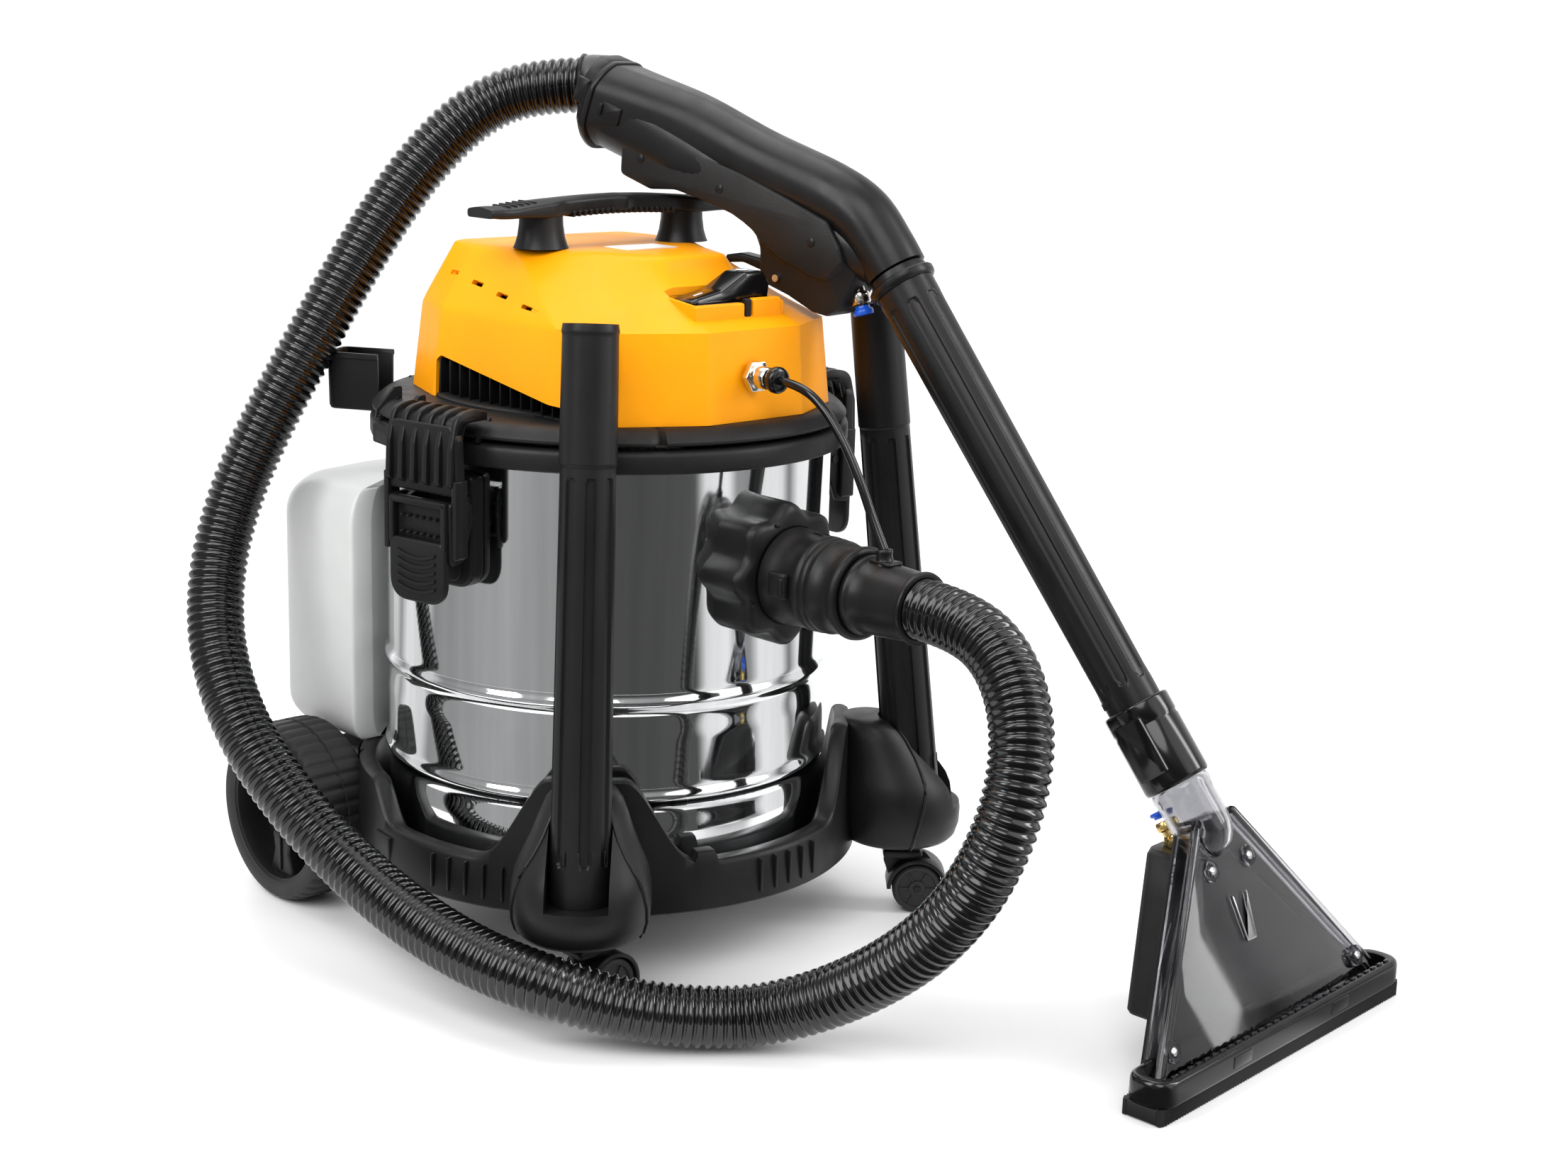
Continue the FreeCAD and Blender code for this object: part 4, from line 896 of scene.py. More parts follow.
def tube_frame(side):
    """Foot and direction of a parked tube: it leans in towards the drum."""
    bearing = side * FRONT_FOOT
    lean = math.radians(6.5)
    direction = polar(-math.sin(lean), bearing) + Vector((0, 0, math.cos(lean)))
    start = polar(227.0, bearing, 81.0) + direction * 0.2
    return place_at(start, direction, polar(1, bearing))


BELL = ((57.0, 215.0, 37.0), (58.4, 215.5, 40.0), (62.0, 216.0, 42.8), (70.0, 216.0, 45.2), (80.0, 215.6, 46.0),
        (92.0, 214.0, 45.6), (100.0, 212.4, 44.0), (107.0, 210.4, 41.2), (114.0, 207.6, 37.6), (124.0, 203.4, 33.0),
        (134.0, 199.0, 29.0), (142.0, 195.4, 25.4), (146.6, 193.0, 21.6), (148.2, 191.6, 18.0))


def make_front_feet():
    for side, name in ((-1, "left"), (1, "right")):
        bearing = side * FRONT_FOOT
        bell = Shape()
        rings = []
        for level, reach, radius in BELL:
            centre = polar(reach, bearing)
            rings.append([(centre.x + x, centre.y + y, level) for x, y in circle(radius, 96)])
        bell.loft(rings)
        foot = piece("front_foot_" + name, bell, "machine", "black_plastic",
                     ("front_feet",) if side < 0 else (), sharp=44)
        ring = circle(20.7, 72)
        front = [p for p in ring if p[0] <= 0.0]
        cradle = [(60.0, -20.7)] + [(60.0, 20.7)] + sorted(front, key=lambda p: math.atan2(p[1], p[0]) % math.tau)
        socket = Shape().prism(cradle, -0.2, 120.0, tube_frame(side))
        carve(foot, socket)
        seam = Shape()
        for turn in (-76.0, 76.0):
            points = []
            for level, reach, radius in BELL[1:-2]:
                swing = math.radians(bearing + turn * (1 - 0.42 * ease((level - 60.0) / 80.0)))
                outward = Vector((math.sin(swing), -math.cos(swing), 0))
                points.append(polar(reach, bearing) + outward * (radius + 0.1) + Vector((0, 0, level)))
            seam_rings = []
            for i, p in enumerate(points):
                along = (points[min(i + 1, len(points) - 1)] - points[max(i - 1, 0)]).normalized()
                place = place_at(p, along, (0, 0, 1) if abs(along.z) < 0.9 else (1, 0, 0))
                seam_rings.append([place @ Vector((x, y, 0)) for x, y in circle(1.3, 10)])
            seam.loft(seam_rings)
        piece("front_foot_trim_" + name, seam, "machine", "black_plastic")


def make_rear_arms():
    arms = Shape()
    for side in (-1, 1):
        profile = rounded([(112.0, 50.0), (188.0, 50.0), (188.0, 78.0), (174.0, 104.0), (150.0, 115.0),
                           (112.0, 115.0)], 9.0, 5)
        place = Matrix((((0, 0, 1, 0)), (1, 0, 0, 0), (0, 1, 0, 0), (0, 0, 0, 1)))
        low, high = (101.0, 143.0) if side > 0 else (-143.0, -101.0)
        arms.pillow(profile, low, high, 3.0, place)
    rear = piece("rear_arms", arms, "machine", "black_plastic", ("rear_feet",))
    hollow = Shape().disc_lathe([(181.0, 40.0), (181.0, 130.0)], 120)
    for side in (-1, 1):
        hollow.disc_lathe([(7.2, 0.0), (7.2, 60.0)], 40, place_at((side * 96.0, 150, 66), (side, 0, 0), (0, 0, 1)))
    carve(rear, hollow)


# ---------------------------------------------------------------------- castors
def make_castors():
    for side, name, trail in ((-1, "left", 0.0), (1, "right", -44.0)):
        pivot = polar(215.0, side * FRONT_FOOT)
        turn = math.radians(trail)
        heading = Vector((math.cos(turn), math.sin(turn), 0))
        across = Vector((-heading.y, heading.x, 0))
        hub = pivot + heading * 17.0 + Vector((0, 0, 18.5))
        side_on = Matrix((heading, (0, 0, 1), -across)).transposed().to_4x4()
        side_on.translation = hub
        hood = Shape()
        arc = [(22.4 * math.cos(math.radians(a)), 22.4 * math.sin(math.radians(a))) for a in range(-8, 190, 9)]
        inner = [(19.5 * math.cos(math.radians(a)), 19.5 * math.sin(math.radians(a))) for a in range(181, -9, -9)]
        hood.pillow(arc + inner, -14.6, 14.6, 0.7, side_on, 2)
        cheek = rounded([(-20.0, 4.0), (16.0, 4.0), (17.0, 12.0), (6.0, 25.0), (-24.0, 28.5), (-25.0, 18.0)], 3.0, 3)
        hood.pillow(cheek, -2.4, 2.4, 0.6, side_on, 2)
        crown = rounded([(-25.5, 22.0), (-2.0, 20.0), (4.0, 24.0), (2.0, 28.4), (-26.5, 28.4)], 3.0, 3)
        hood.pillow(crown, -10.0, 10.0, 2.0, side_on, 3)
        hood.disc_lathe([(2.4, -14.8), (2.4, 14.8)], 24, side_on)
        hood.disc_lathe([(7.5, 43.0), (7.5, 55.6), (5.0, 56.4), (5.0, 68.8)], 40, lift(pivot.x, pivot.y, 0))
        piece("castor_hood_" + name, hood, "castor_" + name, "black_plastic", ("castor_fork_" + name,))
        wheels = Shape()
        profile = [(2.7, 0.4), (6.0, 0.4), (6.4, 1.6), (13.6, 1.6), (14.2, 0.4), (16.4, 0.0), (18.0, 1.2), (18.5, 3.4),
                   (18.5, 8.0), (18.0, 10.0), (16.4, 11.0), (2.7, 11.0)]
        for flip in (1, -1):
            place = side_on @ place_at((0, 0, flip * 14.2), (0, 0, -flip), (1, 0, 0))
            wheels.lathe(profile, 72, place)
            for k in range(6):
                spin = math.radians(60 * k)
                spoke = place @ place_at((10.0 * math.cos(spin), 10.0 * math.sin(spin), 1.3), (0, 0, 1),
                                         (math.cos(spin), math.sin(spin), 0))
                wheels.block((0, 0, 0), (7.6, 1.6, 1.4), 0.4, spoke)
        piece("castor_rollers_" + name, wheels, "castor_wheels_" + name, "rubber", ("castor_wheel_" + name,), sharp=44)


# ------------------------------------------------------------------ rear wheels
def make_rear_wheels():
    for side, name in ((-1, "left"), (1, "right")):
        place = place_at((side * 193.0, 150.0, 66.0), (-side, 0, 0), (0, 0, 1))

        def tread(angle, radius, height):
            if radius < 63.0:
                return radius
            return radius - 1.5 * (0.5 + 0.5 * math.cos(40 * angle)) ** 3

        tyre = [(51.0, 1.6), (53.0, 0.2), (60.4, 0.0), (62.8, 1.0), (64.6, 3.4), (65.6, 6.6), (66.0, 10.0), (66.0, 22.6),
                (64.8, 23.2), (64.8, 24.8), (66.0, 25.4), (66.0, 38.0), (65.6, 41.4), (64.6, 44.6), (62.8, 47.0),
                (60.4, 48.0), (53.0, 47.8), (51.0, 46.4)]
        wheel = Shape().lathe(tyre, 320, place, wobble=tread)
        piece("wheel_tyre_" + name, wheel, "wheel_" + name, "tread", (), sharp=50)
        disc = Shape()
        disc.lathe([(49.0, 3.0), (51.2, 2.0), (51.2, 46.0), (49.0, 46.0), (47.6, 40.0), (47.6, 9.0)], 96, place)
        disc.lathe([(7.2, 9.0), (13.0, 9.0), (15.8, 8.4), (18.4, 10.0), (18.8, 13.0), (18.8, 40.0), (7.2, 40.0)], 72,
                   place)
        disc.lathe([(18.0, 24.0), (49.0, 24.0), (49.0, 26.0), (18.0, 26.0)], 72, place)
        for turn in (60.0, 180.0, 300.0):
            spin = math.radians(turn)
            spoke_place = place @ place_at((0, 0, 0), (0, 0, 1), (math.cos(spin), math.sin(spin), 0))
            spoke = rounded([(16.0, -12.0), (30.0, -9.6), (49.0, -15.5), (49.0, 15.5), (30.0, 9.6), (16.0, 12.0)], 4.0, 4)
            disc.pillow(spoke, 8.4, 26.0, 2.2, spoke_place)
            rib = rounded([(19.0, -1.4), (45.0, -1.4), (45.0, 1.4), (19.0, 1.4)], 0.8, 2)
            disc.pillow(rib, 6.8, 10.0, 0.6, spoke_place, 2)
        piece("wheel_disc_" + name, disc, "wheel_" + name, "black_plastic", ("rear_wheel_" + name,), sharp=44)
        cap = Shape().disc_lathe([(7.0, 76.0), (7.0, 6.2), (12.6, 6.0), (12.8, 4.6), (11.6, 3.0), (8.0, 2.0),
                                  (3.0, 1.6)][::-1], 56, place)
        piece("axle_cap_" + name, cap, "machine", "gloss_black", ("rear_axles",) if side < 0 else (),
              sharp=46)


# ----------------------------------------------------------------- fluted tubes
def fluted(length, low_radius, top_radius, first, last, flutes, depth, wall, steps=(), spin=0.0):
    """Rings of a long moulded tube with recessed flutes; steps add (place, height) bands."""
    count = 144
    levels = sorted({round(length * k / 90, 3) for k in range(91)}
                    | {round(first + d, 3) for d in (0, 1, 2, 3.5, 5, 7)} | {round(last - d, 3) for d in (0, 1, 2, 3.5, 5, 7)}
                    | {round(p + d, 3) for p, _ in steps for d in (-0.6, 0.0, 0.6)})
    outer = []
    for level in levels:
        radius = low_radius + (top_radius - low_radius) * level / length
        radius += sum(h * ease((level - p + 0.6) / 1.2) for p, h in steps)
        radius -= 0.7 * (1 - min(1.0, level / 1.2, (length - level) / 1.2))
        reach = min(1.0, max(0.0, (level - first) / 7.0), max(0.0, (last - level) / 7.0))
        ring = []
        for k in range(count):
            angle = math.tau * k / count
            wave = math.cos(flutes * (angle - spin))
            half = 0.62 * math.sqrt(max(0.0, 1 - (1 - reach) ** 2))
            sunk = depth * ease((wave - (1 - 1.6 * half)) / 0.20) if reach > 0 else 0.0
            r = radius - sunk
            ring.append((r * math.cos(angle), r * math.sin(angle), level))
        outer.append(ring)
    inner = []
    for level in (length, 2.0, 0.0):
        radius = low_radius + (top_radius - low_radius) * level / length - wall
        inner.append([(x, y, level) for x, y in circle(radius, count)])
    return outer + inner


def make_spare_tubes():
    for side, name in ((-1, "left"), (1, "right")):
        place = tube_frame(side)
        tube = Shape().loft(fluted(372.0, 20.1, 17.2, 26.0, 276.0, 8, 1.7, 2.4, ((283.0, 0.7), (366.0, 0.5)), 0.2),
                            closed=True, place=place)
        for k in range(-1, 3):
            swing = math.radians(28.0 * k)
            dash = place @ place_at((20.0 * math.cos(swing), 20.0 * math.sin(swing), 33.0), (0, 0, 1),
                                    (math.cos(swing), math.sin(swing), 0))
            tube.block((0, 0, 0), (0.9, 1.8, 9.0), 0.3, dash)
        piece("parked_tube_" + name, tube, "spare_" + name, "black_plastic", ("spare_tube_" + name,), sharp=40)


# ---------------------------------------------------------------------- latches
def make_latches():
    brackets = Shape()
    for side, name in ((-1, "left"), (1, "right")):
        # local X runs outwards at the latch, Y along the drum and Z up
        facing = Matrix.Rotation(math.radians(side * 80.0 - 90.0), 4, "Z")
        # outline tools draw in (along, up) and grow outwards
        plane = facing @ Matrix(((0, 0, 1, 0), (1, 0, 0, 0), (0, 1, 0, 0), (0, 0, 0, 1)))
        # side profiles draw in (out, up) and grow along
        profile = facing @ Matrix(((1, 0, 0, 0), (0, 0, -1, 0), (0, 1, 0, 0), (0, 0, 0, 1)))

        tab = rounded([(-23.0, 268.0, 14.0), (23.0, 268.0, 14.0), (23.0, 344.0, 4.0), (-23.0, 344.0, 4.0)], 6.0, 8)
        brackets.pillow(tab, 156.0, 168.6, 2.4, plane)
        inner = rounded([(-15.0, 272.0, 9.0), (15.0, 272.0, 9.0), (15.0, 300.0, 3.0), (-15.0, 300.0, 3.0)], 4.0, 6)
        brackets.pillow(inner, 166.0, 170.4, 1.2, plane)
        for k in (-1, 1):
            ear = rounded([(166.0, 306.0), (178.0, 309.0), (185.0, 318.0), (184.0, 328.6), (177.0, 331.2),
                           (166.0, 331.2)], 4.0, 4)
            brackets.pillow(ear, k * 20.0 - 2.0, k * 20.0 + 2.0, 0.8, profile, 2)
        brackets.disc_lathe([(2.9, -29.0), (2.9, 29.0)], 28, profile @ lift(178.0, 322.0, 0))

        lever = Shape()
        tongue = rounded([(-25.0, 261.0, 16.0), (25.0, 261.0, 16.0), (25.0, 300.0, 3.0), (21.0, 303.0, 2.0),
                          (-21.0, 303.0, 2.0), (-25.0, 300.0, 3.0)], 3.0, 7)
        lever.pillow(tongue, 190.6, 196.0, 1.8, plane)
        window = rounded([(-21.5, 298.0), (21.5, 298.0), (21.5, 330.0), (-21.5, 330.0)], 3.0, 4)
        lever.pillow(window, 188.6, 191.4, 0.8, plane, 2)
        bar = rounded([(-25.0, 325.6), (25.0, 325.6), (25.0, 330.4), (-25.0, 330.4)], 2.0, 3)
        lever.pillow(bar, 189.0, 196.0, 1.2, plane, 2)
        for k in (-1, 1):
            rail = rounded([(k * 23.2 - 1.9, 298.0), (k * 23.2 + 1.9, 298.0), (k * 23.2 + 1.9, 330.0),
                            (k * 23.2 - 1.9, 330.0)], 1.5, 3)
            lever.pillow(rail, 189.0, 196.0, 1.0, plane, 2)
            cheek = rounded([(172.0, 316.0), (180.0, 290.0), (192.0, 288.0), (193.0, 330.0), (180.0, 331.0),
                             (173.0, 327.0)], 3.5, 4)
            lever.pillow(cheek, k * 26.0 - 1.6, k * 26.0 + 1.6, 0.6, profile, 2)
        for row in (307.0, 318.0):
            for k in range(6):
                lever.disc_lathe([(1.3, 190.5), (1.3, 194.2), (0.8, 195.0)], 14, plane @ lift(-15.0 + 6.0 * k, row, 0))
        for k in range(5):
            level = 272.0 + 5.6 * k
            lower = [(x, level - 4.6 * (1 - (x / 19.0) ** 2)) for x in range(-17, 18, 2)]
            upper = [(x, z + 2.1) for x, z in lower[::-1]]
            lever.pillow(lower + upper, 195.0, 197.4, 0.6, plane, 2)
        lever.disc_lathe([(2.9, -32.4), (2.9, 32.4)], 28, profile @ lift(186.5, 299.0, 0))
        piece("latch_tongue_" + name, lever, "lever_" + name, "black_plastic", ("latch_lever_" + name,), sharp=42)

        claw = Shape()
        bridge = rounded([(-32.4, 336.0, 2.0), (-27.0, 334.0, 2.0), (27.0, 334.0, 2.0), (32.4, 336.0, 2.0),
                          (31.0, 372.0, 8.0), (26.0, 380.0, 6.0), (-26.0, 380.0, 6.0), (-31.0, 372.0, 8.0)], 3.0, 5)
        claw.pillow(bridge, 183.4, 191.0, 1.6, plane)
        for k in (-1, 1):
            arm = rounded([(k * 30.4 - 2.2, 293.0, 2.0), (k * 30.4 + 2.2, 293.0, 2.0), (k * 30.4 + 2.2, 345.0, 1.0),
                           (k * 30.4 - 2.2, 345.0, 1.0)], 2.0, 3)
            claw.pillow(arm, 181.8, 193.0, 0.9, plane, 2)
        for k in range(6):
            t = -27.5 + 11.0 * k
            fin = rounded([(190.0, 338.0, 2.0), (194.6, 342.0, 2.0), (193.6, 366.0, 14.0), (188.0, 388.0, 14.0),
                           (172.0, 390.0, 8.0), (160.0, 387.0, 1.5), (160.0, 381.4, 1.0), (180.0, 381.4, 8.0),
                           (184.0, 366.0, 2.0)], 3.0, 5)
            claw.pillow(fin, t - 2.0, t + 2.0, 0.7, profile, 2)
        shelf = rounded([(161.0, 381.4, 1.0), (180.0, 381.4, 6.0), (184.0, 372.0, 2.0), (189.6, 372.0, 3.0),
                         (187.0, 384.0, 7.0), (175.0, 386.2, 4.0), (161.0, 385.0, 1.0)], 2.0, 5)
        claw.pillow(shelf, -29.5, 29.5, 0.8, profile, 2)
        piece("latch_hook_" + name, claw, "claw_" + name, "black_plastic", ("latch_claw_" + name,), sharp=42)
    piece("latch_mounts", brackets, "machine", "black_plastic", ("latch_brackets",), sharp=42)


# ------------------------------------------------------------------- water tank
def make_tank():
    arc = [(172.0 * math.sin(math.radians(a)), 172.0 * math.cos(math.radians(a)), 0.0) for a in range(-46, 47, 2)]
    outline = [(141.0, 119.0, 3.0), (141.0, 206.0, 30.0), (119.0, 229.0, 26.0), (60.0, 240.0, 40.0),
               (-60.0, 240.0, 40.0), (-119.0, 229.0, 26.0), (-141.0, 206.0, 30.0), (-141.0, 119.0, 3.0)] + arc
    plan = rounded(outline, 4.0, 8)

    def level_ring(z, pull, inset):
        """A level of the tank, its rear and sides drawn in by pull and its rim by inset."""
        ring = []
        for x, y in shrink(plan, inset):
            back = ease((y - 150.0) / 60.0)
            ring.append((x - math.copysign(min(pull * 0.42, abs(x)) * ease((abs(x) - 60.0) / 60.0), x),
                         y - pull * back, z))
        return ring

    low, top = 117.4, 304.8
    rings = []
    for k in range(9):
        t = math.pi / 2 * k / 8
        rings.append(level_ring(low + 20.0 * (1 - math.cos(t)), 20.0 * (1 - math.sin(t)), 2.2 * (1 - math.sin(t))))
    for z in (180.0, 240.0):
        rings.append(level_ring(z, 0.0, 0.0))
    for k in range(11):
        t = math.pi / 2 * (1 - k / 10)
        rings.append(level_ring(top - 30.0 * (1 - math.cos(t)), 30.0 * (1 - math.sin(t)), 3.0 * (1 - math.sin(t))))
    tank = Shape().loft(rings)
    piece("tank_body", tank, "tank", "tank_plastic", ("solution_tank",), sharp=70)
    details = Shape()
    for x in (-1, 1):
        grip = rounded([(x * 44.0 - 17.0, 262.0), (x * 44.0 + 17.0, 262.0), (x * 44.0 + 17.0, 272.0),
                        (x * 44.0 - 17.0, 272.0)], 5.0, 4)
        details.pillow(grip, -241.6, -238.4, 1.0, Matrix(((1, 0, 0, 0), (0, 0, -1, 0), (0, 1, 0, 0), (0, 0, 0, 1))))
    details.lathe([(14.0, 303.0), (17.0, 303.0), (17.0, 313.0), (14.0, 313.0)], 56, lift(0, 207, 0))
    piece("tank_details", details, "tank", "tank_plastic")

    def knurl(angle, radius, height):
        return radius - (0.6 * (0.5 + 0.5 * math.cos(30 * angle)) if radius > 18.5 and 306 < height < 315.5 else 0)

    cap = [(17.1, 305.4), (20.0, 305.4), (20.6, 306.4), (20.6, 315.0), (19.6, 316.6), (17.4, 317.2), (15.6, 316.0),
           (15.6, 315.6), (17.1, 313.4)]
    lid = Shape().lathe(cap, 240, lift(0, 207, 0), wobble=knurl)
    lid.disc_lathe([(16.0, 313.6), (16.0, 315.4), (15.2, 315.8)], 56, lift(0, 207, 0))
    lid.block((0, 207, 316.2), (26.0, 4.0, 2.4), 0.8)
    piece("tank_cap_knurled", lid, "cap", "black_plastic", ("tank_cap",))


def make_holder():
    """Open pocket for small tools, clipped to the rim at the left rear."""
    place = lift(-103.0, 150.0, 0) @ Matrix.Rotation(math.radians(32), 4, "Z")
    outer = rounded([(-16.5, -26.5), (16.5, -26.5), (16.5, 26.5), (-16.5, 26.5)], 7.0, 6)
    rings = [[(x, y, z) for x, y in shrink(outer, inset)]
             for z, inset in ((357.2, 4.0), (358.0, 2.0), (360.4, 0.8), (392.0, 0.2), (394.6, 0.0), (395.2, -1.2),
                              (397.8, -1.2), (398.8, 0.0), (398.8, 2.0), (396.0, 2.8), (362.0, 3.4))]
    box = Shape().loft(rings, place=place)
    holder = piece("accessory_pocket", box, "machine", "black_plastic", ("accessory_holder",), sharp=44)
    carve(holder, Shape().disc_lathe([(169.4, 330.0), (169.4, 420.0)], 120))


# --------------------------------------------------- handle: the plane it lies in
YAW = math.radians(10.8)
SLOPE = math.radians(53.4)


def wand_point(along, height, across=0.0):
    """A place in the upright plane of the handle and wand; along grows forwards."""
    return Vector((58.5 + along * math.sin(YAW) + across * math.cos(YAW),
                   -along * math.cos(YAW) + across * math.sin(YAW), height))


def wand_heading(down):
    level = math.cos(down)
    return Vector((level * math.sin(YAW), -level * math.cos(YAW), -math.sin(down)))


ACROSS = Vector((math.cos(YAW), math.sin(YAW), 0))
# outlines drawn in (along, height) grow towards -ACROSS, mirrored pieces centre on 0
WAND_PLANE = Matrix((wand_heading(0.0), (0, 0, 1), wand_heading(0.0).cross(Vector((0, 0, 1))))).transposed().to_4x4()
WAND_PLANE.translation = wand_point(0, 0)
HANDLE_STATIONS = ((-60.0, 577.5, 31.0, 19.0, 3.4), (-22.0, 571.5, 27.0, 18.0, 3.0), (20.0, 562.5, 24.4, 17.5, 2.5),
                   (73.0, 543.0, 23.6, 18.0, 2.3), (132.0, 524.5, 22.8, 20.0, 2.2), (160.0, 510.5, 22.2, 34.0, 2.1),
                   (178.0, 490.0, 21.8, 47.0, 2.0), (187.5, 477.0, 21.6, 53.4, 2.0))


def squircle(radius, power, count=72):
    """A ring between a circle (power 2) and a rounded square."""
    ring = []
    for k in range(count):
        c, s = math.cos(math.tau * k / count), math.sin(math.tau * k / count)
        r = radius * (abs(c) ** power + abs(s) ** power) ** (-1 / power)
        r = min(r, radius * (1 + 0.055 * (power - 2)))
        ring.append((r * c, r * s))
    return ring


def between_stations(stations, steps):
    """Stations filled in along a smooth curve through them."""
    filled = []
    last = len(stations) - 1
    for i in range(last):
        p0, p1, p2, p3 = (stations[min(max(j, 0), last)] for j in (i - 1, i, i + 1, i + 2))
        for k in range(steps):
            t = k / steps
            filled.append([0.5 * (2 * b + (c - a) * t + (2 * a - 5 * b + 4 * c - d) * t * t
                                  + (3 * b - a - 3 * c + d) * t ** 3) for a, b, c, d in zip(p0, p1, p2, p3)])
    return filled + [list(stations[-1])]


def handle_ring(along, height, radius, down, power):
    place = place_at(wand_point(along, height), wand_heading(math.radians(down)), ACROSS)
    return [place @ Vector((x, y, 0)) for x, y in squircle(radius, power)]


def make_handle():
    tube = Shape()
    stations = between_stations(HANDLE_STATIONS, 6)
    rings = [handle_ring(*station) for station in stations]
    first, last = stations[0], stations[-1]
    inner = [handle_ring(s, z, r - 2.6, d, p) for s, z, r, d, p in (last, first)]
    tube.loft(rings + inner, closed=True)
    place = place_at(wand_point(-58.1, 576.9), wand_heading(math.radians(19.0)), ACROSS)
    tube.loft([[place @ Vector((x, y, z)) for x, y in squircle(r, 3.4)]
               for z, r in ((-2.5, 29.8), (-2.5, 31.8), (-1.9, 32.3), (1.9, 32.3), (2.5, 31.8), (2.5, 29.8))],
              closed=True)
    catch = place_at(wand_point(-40.0, 573.0, -27.0), -ACROSS, wand_heading(math.radians(19.0)))
    tube.block((0, 0, 0), (22.0, 13.0, 5.0), 1.6, catch)
    tube.block((-7.0, 0, 2.0), (4.0, 9.0, 4.0), 1.0, catch)
    piece("handle_pipe", tube, "machine", "dark_plastic", ("handle_tube",), sharp=42)

    hose_end = Vector((42.5, 85.0, 590.0))
    arrive = (hose_end - Vector((18.0, 118.0, 588.0))).normalized()
    rear = wand_heading(math.radians(19.0))
    collar_back = wand_point(-60.0, 577.5) - rear * 0.1
    steps = ((0.0, 21.4, 2.0), (0.03, 22.8, 2.0), (0.09, 23.2, 2.0), (0.13, 22.6, 2.1), (0.3, 25.0, 2.4),
             (0.5, 27.4, 2.9), (0.62, 28.4, 3.3), (0.66, 30.2, 3.5), (0.94, 31.4, 3.6), (1.0, 30.6, 3.6))
    rings = []
    for share, radius, power in steps:
        bow = hose_end.lerp(collar_back, share) + Vector((0, 0, 3.0 * share * (1 - share)))
        place = place_at(bow, arrive.lerp(rear, ease(share)), ACROSS)
        rings.append([place @ Vector((x, y, 0)) for x, y in squircle(radius, power)])
    cuff = Shape().loft(rings)
    for k in (-1, 1):
        place = place_at(hose_end.lerp(collar_back, 0.8), ACROSS * k, rear)
        cuff.block((0, -8.0 * k, 30.2), (11.0, 18.0, 4.0), 1.2, place)
    piece("handle_cuff_faceted", cuff, "machine", "dark_plastic", ("handle_cuff",), sharp=36)
    make_grip()


GRIP_SIDE = ((-31.0, 566.0, 4.0), (20.0, 553.0), (74.0, 537.0), (114.0, 522.0), (146.0, 509.0, 6.0), (158.0, 490.0),
             (166.0, 474.0, 4.0), (153.0, 449.0, 9.0), (142.0, 443.4, 8.0), (131.0, 445.2, 8.0), (110.0, 455.0, 10.0),
             (92.0, 461.0, 8.0), (85.5, 470.0, 6.0), (85.0, 486.0, 8.0), (79.0, 499.0, 10.0), (66.0, 508.0, 14.0),
             (36.0, 517.0, 20.0), (16.0, 521.6, 20.0), (-6.0, 520.6, 14.0), (-33.0, 530.0, 6.0))


# The same outline where the shell is widest: its lower edge is higher.
GRIP_WIDE = GRIP_SIDE[:5] + ((157.0, 492.0), (160.0, 481.0, 4.0), (148.0, 469.0, 9.0), (137.0, 469.0, 8.0),
                             (127.0, 473.0, 8.0), (108.0, 480.0, 10.0), (95.0, 488.0, 8.0), (89.0, 493.0, 6.0),
                             (84.0, 498.0, 8.0), (76.0, 503.0, 10.0), (65.0, 508.5, 14.0)) + GRIP_SIDE[16:]


